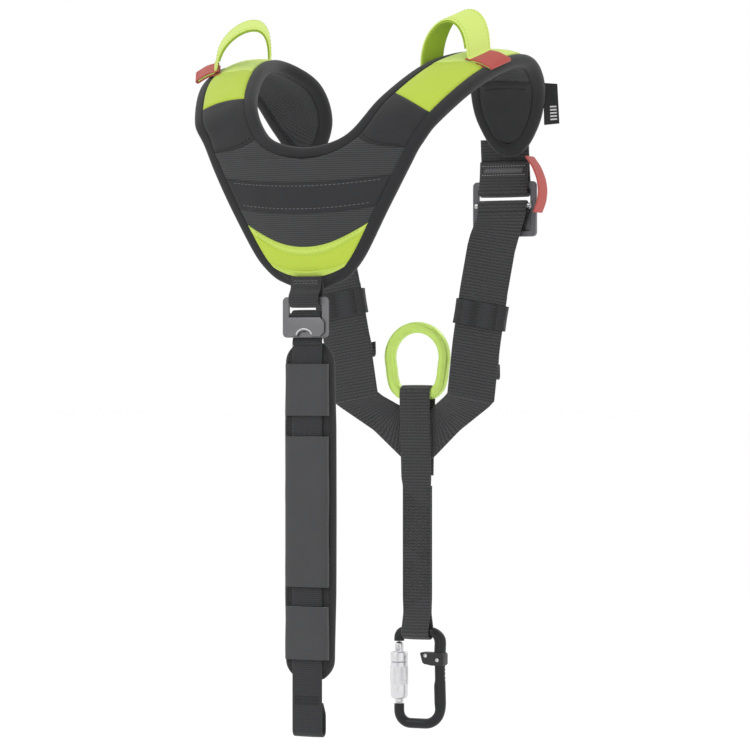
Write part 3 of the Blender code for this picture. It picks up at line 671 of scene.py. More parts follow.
class YokeShape:
    """The yoke's outer face, on rows from the back tip (0) over the crest (9) to the front (12).

    A share of 0 is the spine or the neck edge and 1 the outer edge; a negative share is the same
    place on the wearer's left.
    """

    SPINE = ((0, -0.138, -0.223), (0, -0.1445, -0.204), (0, -0.148, -0.186),
             (0, -0.152, -0.145), (0, -0.153, -0.114), (0, -0.154, -0.0875))
    NECK = ((0, -0.154, -0.0875), (0.040, -0.150, -0.0755), (0.064, -0.128, -0.040),
            (0.0835, -0.070, -0.005), (0.096, 0, 0.009), (0.080, 0.046, -0.008),
            (0.0765, 0.070, -0.044), (0.092, 0.0795, -0.0835))
    OUTER = ((0.030, -0.136, -0.214), (0.045, -0.140, -0.200), (0.057, -0.143, -0.184),
             (0.078, -0.145, -0.146), (0.093, -0.144, -0.118), (0.103, -0.142, -0.099),
             (0.113, -0.138, -0.080), (0.1265, -0.130, -0.058), (0.1475, -0.076, -0.019),
             (0.158, 0, 0.004), (0.156, 0.046, -0.013), (0.1435, 0.071, -0.048),
             (0.122, 0.0805, -0.085))
    NECK_ROW = 5.0
    LAST_ROW = 12.0
    INSET = 0.010
    CROWN = 0.0030
    DEPTH = 0.0111

    def __init__(self) -> None:
        """Works out both edges, the pad's own edges and the normals on 1201 rows."""
        self.rows = np.linspace(0, self.LAST_ROW, 1201)
        on_neck = (self.rows >= self.NECK_ROW)[:, None]
        mirrored = (-self.NECK[1][0], *self.NECK[1][1:])
        spine = rounded_through(self.SPINE, self.rows)
        neck = rounded_through(self.NECK, np.maximum(self.rows - self.NECK_ROW, 0), mirrored)
        self.inner = np.where(on_neck, neck, spine)
        self.outer = rounded_through(self.OUTER, self.rows)
        middle = (self.inner + self.outer) / 2
        normal = unit(np.cross(self.outer - self.inner, tangents(middle)))
        for _ in range(60):
            normal[1:-1] = (normal[:-2] + 2 * normal[1:-1] + normal[2:]) / 4
        self.normal = unit(normal)
        neck_run = tangents(np.where(on_neck, neck, neck[on_neck[:, 0]][0]))
        neck_run[~on_neck[:, 0]] = (1, 0, 0)
        into_neck = unit(np.cross(neck_run, self.normal))
        fade = np.clip(self.rows / self.NECK_ROW, 0, 1)[:, None] ** 3
        into = np.where(on_neck, into_neck, fade * np.array([0, 0, -1.0]))
        self.pad_inner = self.inner + self.INSET * into
        self.pad_inner[self.rows <= self.NECK_ROW, 0] = 0
        self.pad_outer = self.outer + self.INSET * unit(
            np.cross(self.normal, tangents(self.outer)))

    def read(self, table: Array, rows: Array) -> Array:
        """A table's value at row numbers of any shape."""
        return np.stack([np.interp(rows, self.rows, column) for column in table.T], axis=-1)

    def normal_at(self, rows: Array, shares: Array) -> Array:
        """Unit normals, whose sideways part fades out towards the spine."""
        normal = self.read(self.normal, rows)
        on_spine = 1 - smooth_step(4.6, 5.6, rows)
        normal[..., 0] *= 1 - on_spine * (1 - np.abs(shares))
        normal[..., 0] *= np.where(np.signbit(shares), -1, 1)
        return unit(normal)

    def at(self, rows: Array, shares: Array, depth: Array | float) -> Array:
        """Points below the crowned outer face.

        The face is a straight line between the pad's edges, plus a crown of C (1 - s^2) where
        both halves are one piece and of 4 C s (1 - s) on the arms.

        Args:
            rows: Row numbers.
            shares: Shares of the width, of the same shape.
            depth: Depth below the face.

        Returns:
            The points.
        """
        s = np.abs(shares)
        both = 1 - smooth_step(4.4, 6.2, rows)
        inner, outer = self.read(self.pad_inner, rows), self.read(self.pad_outer, rows)
        bent = (s * (1 - both) + s**2 * both)[..., None]
        share = np.concatenate([s[..., None], bent, bent], axis=-1)
        point = inner * (1 - share) + outer * share
        point[..., 0] *= np.where(np.signbit(shares), -1, 1)
        rise = self.CROWN * smooth_step(0.6, 2.6, rows) * (
            both * (1 - s**2) + (1 - both) * 4 * s * (1 - s))
        return point + (rise - depth)[..., None] * self.normal_at(rows, shares)

    def rim(self) -> tuple[Array, Array]:
        """The yoke's whole outline as one closed path, with the normals along it.

        It runs from the tip up the right outer edge, round the front end on a rounded corner,
        back along the neck to the middle, and then over the mirror image of all that.
        """
        up = np.linspace(0.42, 11.5, 260)
        turn = np.linspace(0, np.pi, 40)[1:-1]
        row = np.concatenate([up, 11.5 + 0.5 * np.sin(turn) ** 0.7,
                              np.linspace(11.5, self.NECK_ROW, 150)])
        cosine = np.cos(turn)
        corner = 0.5 + 0.5 * np.sign(cosine) * np.abs(cosine) ** 0.7
        share = np.concatenate([np.ones(260), corner, np.zeros(150)])[:, None]
        path = self.read(self.inner, row) * (1 - share) + self.read(self.outer, row) * share
        normal = self.read(self.normal, row)
        tip, flip = np.array([[0, -0.1385, -0.2222]]), np.array([-1, 1, 1])
        path = np.vstack([tip, path, (path * flip)[-2::-1]])
        normal = np.vstack([[0, -0.94, -0.34], normal, (normal * flip)[-2::-1]])
        both = relaxed(np.hstack([path, normal]), 0.0022, 8, closed=True)
        return both[:, :3], unit(both[:, 3:])


@dataclass(frozen=True)
class YokePanel:
    """A cloth panel on the yoke, between two seams that can bow towards the edges.

    Each seam is a row number at the middle or neck side and one at the outer side. The panel's
    rim turns down into the seam over the width of the roll.
    """

    name: str
    finish: str
    low: tuple[float, float]
    high: tuple[float, float]
    nodes: tuple[str, ...] = ()
    shares: tuple[float, float] = (0.0, 1.0)
    depth: float = 0.0
    thick: float = 0.0013
    puff: float = 0.0012
    roll: float = 0.006
    facing: float = 1.0
    rounded_end: bool = False
    level: bool = False

    def places(self, count: int, wide: int, side: float) -> tuple[Array, Array]:
        """Rows and shares of the panel's grid. A whole panel's seams bow as |share|^2.3 does."""
        t = eased(count, 0.8)[:, None]
        whole = self.shares[0] < 0
        s = self.shares[0] + (self.shares[1] - self.shares[0]) * eased(wide, 0.8)[None, :]
        bow = np.abs(s) ** 2.3 if whole else s
        low = self.low[0] + (self.low[1] - self.low[0]) * bow
        high = self.high[0] + (self.high[1] - self.high[0]) * bow
        if self.rounded_end:
            reach = np.abs(2 * (s - self.shares[0]) / (self.shares[1] - self.shares[0]) - 1)
            high = high - 0.22 * reach**3.2
        rows = low + (high - low) * t
        return rows, np.broadcast_to(s if whole else s * side, rows.shape)

    def piece(self, shape: YokeShape, side: float = 1.0) -> Body:
        """Builds the panel as a thin closed shell with rolled seams."""
        count = int(30 + 11 * max(self.high) - 11 * min(self.low))
        rows, shares = self.places(count, 44, side)
        face = shape.at(rows, shares, np.zeros(rows.shape))
        across = np.linalg.norm(np.diff(face, axis=1), axis=2)
        u = np.concatenate([np.zeros((len(face), 1)), np.cumsum(across, axis=1)], axis=1)
        down = np.linalg.norm(np.diff(face, axis=0), axis=2)
        v = np.concatenate([np.zeros((1, face.shape[1])), np.cumsum(down, axis=0)], axis=0)
        inner = u + (0.05 * (1 - smooth_step(4.95, 5.2, rows)) if self.shares[0] == 0 else 0)
        edge = np.minimum(np.minimum(inner, u[:, -1:] - u), np.minimum(v, v[-1:] - v))
        rise = self.puff * (1 - (1 - np.clip(edge / self.roll, 0, 1)) ** 2)
        x, y, z = np.moveaxis(face, -1, 0)
        wave = 0.00018 * (np.sin(230 * x + 90 * z) + np.sin(170 * z - 140 * x + 60 * y))
        depth = self.depth - self.facing * (rise + wave * np.clip(edge / 0.012, 0, 1))
        top = shape.at(rows, shares, depth + self.facing * self.puff * 0.5)
        low = shape.at(rows, shares, np.full(rows.shape, self.depth + self.facing * self.thick))
        points = np.concatenate([top, low[:, ::-1]], axis=1)
        width, height = (face[..., 0], face[..., 2]) if self.level else (u - u[:, -1:] / 2, v)
        flat = np.stack([np.hstack([width, width[:, ::-1], width[:, :1]]),
                         np.hstack([height, height[:, ::-1], height[:, :1]])], axis=-1)
        return grid_piece(self.name, points, self.finish, flat)


class Yoke:
    """The padded yoke: foam pad, cloth panels, binding, lining, pockets and seams."""

    RIM_HALF = 0.0060
    RIM_ROUND = 0.0072
    RIM_FLANGE = 0.0132
    LIME_LOW = 0.92
    LIME_ARC = (2.27, 2.62)
    YOKE_SEAM = (6.15, 5.28)
    SHOULDER_SEAM = {"left": (7.16, 7.22), "right": (7.16, 6.88)}
    STITCH = Seam(finish="black_thread")
    NAME_STITCH = Seam(finish="grey_thread", spacing=0.0042, length=0.0030)

    def __init__(self) -> None:
        """Lays out the shape and the panels."""
        self.shape = YokeShape()
        whole = (-1.0, 1.0)
        arc_low, arc_high = self.LIME_ARC
        self.middle = [
            YokePanel("tip_panel", "smooth_cloth", (0.45, 0.5), (self.LIME_LOW, 0.86), (), whole,
                      puff=0.0004, roll=0.003),
            YokePanel("lime_lower_edging", "lime_edging", (self.LIME_LOW, 0.86), (1.30, 1.16), (),
                      whole, puff=0.0008, roll=0.0025),
            YokePanel("lime_back_cloth", "lime_cloth", (1.26, 1.12),
                      (arc_low - 0.19, arc_high - 0.14), ("lime_back_panel",), whole,
                      puff=0.0010, roll=0.005),
            YokePanel("lime_upper_edging", "lime_edging", (arc_low - 0.22, arc_high - 0.17),
                      (arc_low, arc_high), (), whole, puff=0.0012, roll=0.0022),
            YokePanel("ribbed_lower_panel", "ribbed_cloth", (arc_low, arc_high), (3.0, 3.0), (),
                      whole, puff=0.0010, roll=0.003, level=True),
            YokePanel("plain_name_band", "smooth_cloth", (2.99, 2.99), (4.0, 4.0), ("name_band",),
                      whole, puff=0.0014, roll=0.0028),
        ]

    def build(self) -> None:
        """Builds every piece of the yoke and rides it on the root."""
        self.build_pad()
        self.build_rim()
        for panel in self.middle:
            settle(panel.piece(self.shape), "root", panel.nodes)
        self.build_neck_panels()
        for side, sign in SIDES:
            self.build_arm(side, sign)
        self.build_seams()

    def build_pad(self) -> None:
        """The foam under the cloth, one closed crowned half for each side."""
        for side, sign in SIDES:
            rows = np.linspace(0.3, 11.86, 150)[:, None]
            s = np.linspace(0, 1, 22)[None, :]
            end = smooth_step(11.0, 11.86, rows)
            s = 0.5 + (s - 0.5) * (1 - 0.35 * end**2)
            rows = np.broadcast_to(rows, (150, 22))
            shares = np.broadcast_to(s, (150, 22)) * sign
            top = self.shape.at(rows, shares, np.full(rows.shape, 0.0006))
            low = self.shape.at(rows, shares, np.full(rows.shape, 0.0098))
            pad = grid_piece(f"{side}_yoke_foam", np.concatenate([top, low[:, ::-1]], axis=1),
                             "smooth_cloth")
            settle(pad, "root", ("yoke_core",) if sign > 0 else ())

    def rim_section(self) -> tuple[Array, Array]:
        """Section of the folded binding: distance in from the edge, and height over the middle.

        It is a rounded nose (a superellipse quarter on each face), flat faces, a shallow seam
        and a flange that lies a little lower.
        """
        turn = np.linspace(0, np.pi / 2, 9)
        nose_in = self.RIM_ROUND * (1 - np.cos(turn) ** 0.85)
        nose_up = self.RIM_HALF * np.sin(turn) ** 0.85
        face_in = np.array([0.0085, 0.0096, 0.0102, 0.0110, 0.0122, self.RIM_FLANGE, 0.0128])
        face_up = self.RIM_HALF + np.array([0.0, -0.0002, -0.0009, -0.0007, -0.0007, -0.0013,
                                            -0.0030])
        half_in = np.concatenate([nose_in, face_in])
        half_up = np.concatenate([nose_up, face_up])
        return (np.concatenate([half_in, half_in[:0:-1]]),
                np.concatenate([half_up, -half_up[:0:-1]]))

    def build_rim(self) -> None:
        """The folded tape round the whole outline, with a stitch line on each face."""
        path, normal = self.shape.rim()
        into = unit(np.cross(normal, tangents(path, closed=True)))
        inward, height = self.rim_section()
        middle = path - normal * (self.shape.DEPTH / 2)
        points = (middle[:, None] + inward[:, None] * into[:, None]
                  + height[:, None] * normal[:, None])
        rim = grid_piece("folded_rim", points, "binding", closed_along=True)
        settle(rim, "root", ("neck_binding", "outer_binding"))
        for name, face in (("rim_stitching_outside", 1), ("rim_stitching_inside", -1)):
            line = middle + 0.0117 * into + face * (self.RIM_HALF - 0.0006) * normal
            row = self.STITCH.along_path(name, line, face * normal, closed=True)
            settle(row, "root")

    def build_neck_panels(self) -> None:
        """The ribbed cloth under the neck, in two halves that meet at the middle."""
        for side, sign in SIDES:
            panel = YokePanel(f"{side}_ribbed_panel", "ribbed_cloth", (4.0, 4.0), self.YOKE_SEAM,
                              ("ribbed_panel",) if sign > 0 else (), (0.0, 1.0), puff=0.0010,
                              roll=0.003, level=True)
            settle(panel.piece(self.shape, sign), "root", panel.nodes)

    def build_arm(self, side: str, sign: float) -> None:
        """One arm's panels on both faces."""
        deep = self.shape.DEPTH
        seam = self.SHOULDER_SEAM[side]
        panels = [
            YokePanel(f"{side}_smooth_shoulder", "smooth_cloth", self.YOKE_SEAM, seam,
                      (f"{side}_smooth_panel",), puff=0.0015, roll=0.004),
            YokePanel(f"{side}_lime_patch", "lime_cloth", seam, (9.7, 9.7),
                      (f"{side}_shoulder_patch",), (0.0, 1.0), puff=0.0018, roll=0.0035),
            YokePanel(f"{side}_lime_overlay", "lime_band", (7.95, 8.15), (9.0, 8.95), (),
                      (0.02, 0.97), -0.0007, 0.0008, 0.0007, 0.002),
            YokePanel(f"{side}_front_ribbed_cover", "ribbed_cloth", (9.66, 9.66), (11.84, 11.84),
                      (f"{side}_front_cover",), (0.0, 1.0), rounded_end=True),
            YokePanel(f"{side}_lining", "spacer_mesh", (0.6, 0.6), (11.84, 11.84),
                      ("yoke_lining",) if sign > 0 else (), (0.0, 1.0), deep - 0.0004,
                      0.0011, 0.0016, 0.007, -1.0, True),
        ]
        if side == "right":
            panels.append(YokePanel("right_front_pocket", "smooth_cloth", (9.93, 9.93),
                                    (11.80, 11.80), ("right_pocket",), (0.02, 0.98),
                                    deep + 0.0016, 0.0009, 0.0022, 0.008, -1.0, True))
        for panel in panels:
            settle(panel.piece(self.shape, sign), "root", panel.nodes)

    def seam_line(self, name: str, seam: Seam, low: float, outer: float, sign: float,
                  shares: tuple[float, float], depth: float = -0.0009, facing: float = 1.0,
                  bowed: bool = False) -> Body:
        """A stitched row across the yoke at the row numbers of a panel's seam."""
        s = np.linspace(*shares, 60)
        rows = low + (outer - low) * (np.abs(s) ** 2.3 if bowed else s)
        path = self.shape.at(rows, s * sign, np.full(60, depth))
        normal = self.shape.normal_at(rows, s * sign) * facing
        return seam.along_path(name, path, normal)

    def build_seams(self) -> None:
        """Dotted rows on the plain band, the lime edging and the shoulder seams."""
        lime = Seam("lime_thread", 0.0034, 0.0022, 0.0003)
        arc_low, arc_high = self.LIME_ARC
        rows = [("band_stitching_upper", self.NAME_STITCH, 3.87, 3.87),
                ("band_stitching_lower", self.NAME_STITCH, 3.13, 3.13),
                ("lime_stitching_upper", lime, arc_low - 0.05, arc_high - 0.05),
                ("lime_stitching_middle", lime, arc_low - 0.17, arc_high - 0.13),
                ("lime_stitching_lower", lime, 1.2, 1.06)]
        for name, seam, low, outer in rows:
            row = self.seam_line(name, seam, low, outer, 1.0, (-0.9, 0.9), bowed=True)
            settle(row, "root")
        for side, sign in SIDES:
            low, outer = self.YOKE_SEAM
            row = self.seam_line(f"{side}_shoulder_stitching", self.STITCH, low + 0.09,
                                 outer + 0.10, sign, (0.06, 0.94), -0.0012)
            settle(row, "root")
        row = self.seam_line("pocket_stitching", self.STITCH, 10.17, 10.17, 1.0, (0.12, 0.88),
                             self.shape.DEPTH + 0.0030, -1.0)
        settle(row, "root")


# ---------------------------------------------------------------- webbing pieces


class GearLoops:
    """The pale bands arched over both shoulders, each with a red pull tab."""

    ROW_Y = -0.056
    WIDTH = 0.030
    ACROSS = (0.42, 0.82, 0.38)
    FOOT = {"left": (0.083, 0.008), "right": (0.083, -0.008)}
    HEEL = {"left": (0.140, 0.000), "right": (0.131, 0.001)}
    RISE = {"left": 0.034, "right": 0.0415}
    LEAN = {"left": 0.008, "right": -0.002}
    TAB = ((-0.003, 0.0020), (0.003, 0.0030), (0.010, 0.0045), (0.0205, 0.0100))

    def build(self) -> None:
        """Builds both loops."""
        for side, sign in SIDES:
            self.build_loop(side, sign)

    def band_path(self, side: str, sign: float, start: float, end: float, inset: float) -> Array:
        """Middle line of the band: half an ellipse over the shoulder that leans to one side.

        Args:
            side: Which loop.
            sign: 1 on the wearer's right, -1 on the left.
            start: Share of the arch where the path begins, from the neck side.
            end: Share of the arch where it ends.
            inset: How far inside the band's own middle line it runs.

        Returns:
            Rows of a point and a half-width vector.
        """
        (foot_x, foot_z), (heel_x, heel_z) = self.FOOT[side], self.HEEL[side]
        share = np.linspace(start, end, 60)
        angle = np.pi * (1 - share)
        half = (heel_x - foot_x) / 2 - inset
        x = ((foot_x + heel_x) / 2 + half * np.cos(angle)
             - self.LEAN[side] * np.sin(angle) ** 2)
        z = (foot_z + (self.RISE[side] - inset) * np.sin(angle) ** 0.9 + (heel_z - foot_z) * share)
        across = unit(np.array(self.ACROSS) * (sign, 1, 1)) * self.WIDTH / 2
        waist = 1 - 0.10 * np.exp(-((share - 0.02) / 0.12) ** 2)
        path = np.stack([sign * x, np.full(60, self.ROW_Y), z], axis=1)
        return np.hstack([path, across * waist[:, None]])

    def build_loop(self, side: str, sign: float) -> None:
        """The outer band, a darker copy of it inside the arch as painted shade, the tab and their
        stitching.
        """
        body = f"{side}_loop"
        run = self.band_path(side, sign, 0.0, 1.0, 0.0)
        heel_x, heel_z = self.HEEL[side]
        reach = [(sign * (heel_x + out), self.ROW_Y, heel_z - drop) for out, drop in self.TAB]
        across = run[0, 3:] / np.linalg.norm(run[0, 3:]) * self.WIDTH / 2
        tongue = [[*point, *(across * 0.84)] for point in reach[1:]]
        band = Tape.through([*run.tolist(), *tongue], 0.0016, 0.0012, 10, 0.0002)
        settle(band.piece(f"{side}_loop_band", "lime_band"), body,
               (f"{side}_gear_loop",))
        # Painted shade: a darker copy of the band lines the underside of the arch, where shade
        # falls.
        inner = Tape.through(self.band_path(side, sign, 0.0, 0.93, 0.0019), 0.0015, 0.0012, 8)
        settle(inner.piece(f"{side}_loop_shaded_underside", "lime_band_shade"), body)
        length = arc_length(band.path)[-1]
        at = np.arange(0.004, length - 0.022, 0.0034)
        for edge in (-1, 1):
            points, along, _, normal = band.at(at, np.full(len(at), edge * 0.84), -sign * 0.0001)
            place = "near" if edge < 0 else "far"
            row = Seam("lime_thread", 0.0034, 0.0024, 0.0003).piece(
                f"{side}_loop_stitching_{place}", points, along, -sign * normal)
            settle(row, body)
        self.build_tab(side, sign, body, reach, across)

    def build_tab(self, side: str, sign: float, body: str, reach: list, across: Array) -> None:
        """The red tape folded round the band's end: out over it, round its nose and back."""
        middle = relaxed(reach, 0.0015, 4)
        run = tangents(middle)
        normal = unit(np.cross(across, run)) * sign
        normal *= np.sign(normal[:, 2:])
        turn = np.linspace(-np.pi / 2, np.pi / 2, 9)[1:-1, None]
        nose = middle[-1] + run[-1] * 0.0016 * np.cos(turn) - normal[-1] * 0.0016 * np.sin(turn)
        wrap = np.vstack([middle + normal * 0.0016, nose, (middle - normal * 0.0016)[::-1]])
        halves = np.broadcast_to(across * 0.90, wrap.shape)
        tab = Tape(wrap, halves.copy(), 0.0011)
        settle(tab.piece(f"{side}_pull_tab", "red_tape"), body, (f"{side}_loop_tab",))
        top = middle + normal * 0.0022
        inset = across * 0.72
        front = [top[1] - inset, top[-2] - inset, top[-2] + inset, top[1] + inset]
        path = relaxed(front, 0.0004, 2, closed=True)
        row = Seam("red_tape", 0.0028, 0.0019, 0.0003).along_path(
            f"{side}_tab_stitching", path, np.broadcast_to(normal[2], path.shape), closed=True)
        settle(row, body)


class WovenTag:
    """A folded flag in the rim of the right front end, with plain woven stripes."""

    CORNERS = ((0.0, -0.019), (0.0105, -0.0175), (0.0085, 0.020), (-0.001, 0.021))
    PLACE = (0.1515, 0.064, -0.038)
    TURN = math.radians(25)
    THICK = 0.0011

    def point(self, out: Array, up: Array, lift: Array | float) -> Array:
        """A place on the flag from shares of its width and height, and a height off it.

        It is the straight blend of its four corners, turned about the upright through its root.
        """
        low_in, low_out, high_out, high_in = (np.array(c) for c in self.CORNERS)
        out, up = np.asarray(out)[..., None], np.asarray(up)[..., None]
        flat = ((1 - up) * ((1 - out) * low_in + out * low_out)
                + up * ((1 - out) * high_in + out * high_out))
        x = flat[..., 0] - 0.004 * (1 - out[..., 0])
        y = lift + 0.0006 * np.sin(3 * out[..., 0] + 2 * up[..., 0])
        c, s = math.cos(self.TURN), math.sin(self.TURN)
        return np.stack([x * c - y * s, x * s + y * c, flat[..., 1]], axis=-1) + self.PLACE

    def slab(self, name: str, finish: str, out: tuple[float, float], up: tuple[float, float],
             lift: float, thick: float) -> Body:
        """A flat rectangle of the flag with rounded rims."""
        rows = np.linspace(*up, 14)[:, None]
        columns = np.linspace(*out, 10)[None, :]
        rows, columns = np.broadcast_arrays(rows, columns)
        top = self.point(columns, rows, lift - thick / 2)
        low = self.point(columns, rows, lift + thick / 2)
        return grid_piece(name, np.concatenate([top, low[:, ::-1]], axis=1), finish)

    def build(self) -> None:
        """The flag, and a ladder of plain stripes on its lower half."""
        flag = self.slab("woven_tag", "binding", (0, 1), (0, 1), 0.0, self.THICK)
        settle(flag, "root", ("side_tag",))
        bars = []
        for k in range(5):
            low = 0.10 + 0.078 * k
            bars.append(self.slab(f"bar_{k}", "white_thread", (0.42, 0.86), (low, low + 0.036),
                                  -self.THICK / 2, 0.0003))
        stripes = joined("tag_stripes", bars)
        settle(stripes, "root")


class BackStrap:
    """The strap down the wearer's back: sewn loop, buckle webbing, strap, pad and sleeves."""

    BAR = np.array([0, -0.149, -0.2265])
    WIDTH = 0.030
    THIN = 0.0022
    STRAP_Y = -0.146
    STRAP_TOP = -0.2675
    STRAP_LOW = -0.624
    PAD_TOP = -0.265
    PAD_LOW = -0.571
    PAD_HALF = 0.0255
    PAD_DEPTH = 0.010
    SLEEVE_HALF = 0.0215
    SLEEVES = {"upper": (-0.284, -0.331), "middle": (-0.350, -0.487), "lower": (-0.505, -0.553)}

    def side_tape(self, name: str, profile: Sequence[Sequence[float]], body: str,
                  nodes: Sequence[str], spacing: float = 0.0012, passes: int = 3,
                  finish: str = "webbing") -> tuple[Tape, Body]:
        """Webbing whose side view is a profile in y and z, settled on a body."""
        rows = [(0, y, z, self.WIDTH / 2, 0, 0) for y, z in profile]
        tape = Tape.through(rows, self.THIN, spacing, passes, 0.0002)
        piece = tape.piece(name, finish)
        settle(piece, body, nodes)
        return tape, piece

    def build(self) -> None:
        """Builds the strap from the yoke's tip downwards."""
        self.build_hanger()
        self.build_feed()
        self.build_strap()
        self.build_pad()
        for name, (top, low) in self.SLEEVES.items():
            self.build_sleeve(name, top, low)

    def build_hanger(self) -> None:
        """Webbing from the lime edge over the tip, round the buckle's top bar and up inside."""
        y, z = self.BAR[1:]
        profile = [(-0.1478, -0.2045), (-0.1482, -0.2100), (-0.1502, -0.2165), (-0.1540, -0.2218),
                   *arc((y, z), 0.0053, 180, 360), (-0.1430, -0.2136), (-0.1443, -0.2057)]
        tape, _ = self.side_tape("back_hanger", profile, "root", ("back_sewn_webbing",), 0.0008, 3)
        share = np.tile(np.linspace(-0.75, 0.75, 15), 2)
        along = np.concatenate([np.full(15, 0.0040), np.full(15, 0.0068)])
        points, _, across, normal = tape.at(along, share, -0.0001)
        rows = Seam("grey_thread", 0.002, 0.0026, 0.0003)
        lean = unit(across + tangents(tape.path)[5] * np.where(np.arange(30) % 2, 1, -1)[:, None])
        settle(rows.piece("back_hanger_bartack", points, lean, -normal), "root")

    def build_feed(self) -> None:
        """The roll over the buckle's cross bar, and the length that feeds the strap."""
        y, z = self.BAR[1:]
        centre = (y + 0.0044, z - 0.0134)
        roll = [(centre[0] - 0.0041, centre[1] - 0.006), *arc(centre, 0.0041, 180, 0),
                (centre[0] + 0.0041, centre[1] - 0.006)]
        self.side_tape("back_roll", roll, "back_buckle", ("back_webbing_turn",), 0.0007, 2)
        feed_y = y + 0.0085
        feed = [(feed_y, z - 0.0203), (feed_y, z - 0.0262), (self.STRAP_Y, self.STRAP_TOP + 0.005),
                (self.STRAP_Y, self.STRAP_TOP + 0.0003)]
        rows = [(0, a, b, self.WIDTH / 2, 0, 0) for a, b in feed]
        tape = Tape.through(rows, self.THIN, 0.0010, 6, 0.0002)
        piece = tape.piece("back_feed_webbing", "webbing")
        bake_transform(piece)
        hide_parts("back_feed")

    def build_strap(self) -> None:
        """The strap itself, with the sewn eye at its lower end."""
        y, low = self.STRAP_Y, self.STRAP_LOW
        eye_top = self.PAD_LOW - 0.022
        profile = [(y, self.STRAP_TOP), (y, eye_top),
                   *arc((y + 0.004, low + 0.005), 0.004, 180, 360, 10),
                   (y + 0.008, eye_top - 0.010), (y + 0.0028, eye_top)]
        tape, _ = self.side_tape("back_strap_webbing", profile, "back_strap", ("back_strap",),
                                 0.0012, 4)
        length = self.STRAP_TOP - eye_top
        share = np.tile(np.linspace(-0.75, 0.75, 14), 3)
        along = length - 0.004 + np.repeat([-0.002, 0.001, 0.004], 14)
        points, run, _, normal = tape.at(along, share, -0.0001)
        row = Seam("black_thread", 0.003, 0.0030, 0.0004).piece(
            "back_strap_bartack", points, run, -normal)
        settle(row, "back_strap")

    def pad_outline(self, t: Array) -> tuple[Array, Array]:
        """Half-width and sideways drift of the pad at shares of its height from the top.

        The half-width is full but for both ends, where it follows a rounded quarter; the middle
        line drifts a little to the wearer's right on the way down.
        """
        height = self.PAD_TOP - self.PAD_LOW
        end = np.minimum(t, 1 - t) * height
        round_off = np.clip(1 - end / 0.020, 0, 1)
        half = self.PAD_HALF * (1 - 0.42 * round_off**2.6) - 0.0012 * np.cos(2 * np.pi * t)
        return np.minimum(half, self.PAD_HALF), 0.0006 * np.sin(np.pi * t)

    def build_pad(self) -> None:
        """The foam pad behind the strap: a crowned cushion with a row of stitches down each side.
        """
        t = eased(150, 0.85)
        half, drift = self.pad_outline(t)
        z = self.PAD_TOP + (self.PAD_LOW - self.PAD_TOP) * t
        front = self.STRAP_Y + self.THIN / 2 + 0.0003
        angle = np.linspace(0, 2 * np.pi, 48, endpoint=False)
        cosine, sine = np.cos(angle), np.sin(angle)
        x = np.sign(cosine) * np.abs(cosine) ** 0.5
        y = np.sign(sine) * np.abs(sine) ** 0.62
        end = np.minimum(t, 1 - t) * (self.PAD_TOP - self.PAD_LOW)
        deep = self.PAD_DEPTH / 2 * (0.55 + 0.45 * smooth_step(0, 0.012, end))
        ripple = 1 + 0.02 * np.sin(z * 55) + 0.015 * np.sin(z * 131)
        points = np.stack([drift[:, None] + half[:, None] * x,
                           front + self.PAD_DEPTH / 2 + (deep * ripple)[:, None] * y,
                           np.broadcast_to(z[:, None], (150, 48))], axis=-1)
        pad = grid_piece("back_cushion", points, "smooth_cloth")
        settle(pad, "back_pad", ("back_pad",))
        for side, sign in SIDES:
            keep = slice(6, -6)
            rim = np.stack([drift + sign * (half - 0.0040), np.full(150, front + 0.0003), z],
                           axis=1)[keep]
            up = np.broadcast_to(np.array([sign * 0.35, -1.0, 0]), rim.shape)
            row = Seam("black_thread", 0.0036, 0.0026, 0.0004).along_path(
                f"cushion_stitching_{side}", rim + np.array([0, 0.0004, 0]), unit(up))
            settle(row, "back_pad")

    def build_sleeve(self, name: str, top: float, low: float) -> None:
        """A felt sleeve: a soft channel over the strap whose side walls reach the pad."""
        outer, channel = self.SLEEVE_HALF, self.WIDTH / 2 + 0.0006
        base, roof = self.STRAP_Y + self.THIN / 2, self.STRAP_Y - self.THIN / 2 - 0.0003
        wall = np.linspace(0, np.pi, 19)
        outside = np.stack([-outer * np.sign(np.cos(wall)) * np.abs(np.cos(wall)) ** 0.34,
                            base + (roof - 0.0026 - base) * np.sin(wall) ** 0.34], axis=1)
        inside = np.array([(channel, base), (channel, roof), (0.3 * channel, roof),
                           (-0.3 * channel, roof), (-channel, roof), (-channel, base)])
        section = np.vstack([outside, inside])
        t = eased(26, 0.9)
        z = top + (low - top) * t
        edge = np.minimum(t, 1 - t) * (top - low)
        thin = 1 - 0.10 * (1 - np.clip(edge / 0.0016, 0, 1)) ** 2
        y = np.where(section[:, 1] < roof - 1e-6, roof + (section[:, 1] - roof) * thin[:, None],
                     section[:, 1])
        x = section[:, 0] * (1 + 0.012 * np.sin(z * 90))[:, None]
        points = np.stack([x, y, np.broadcast_to(z[:, None], x.shape)], axis=-1)
        sleeve = grid_piece(f"felt_sleeve_{name}", points, "felt")
        settle(sleeve, "back_pad", (f"back_patch_{name}",))


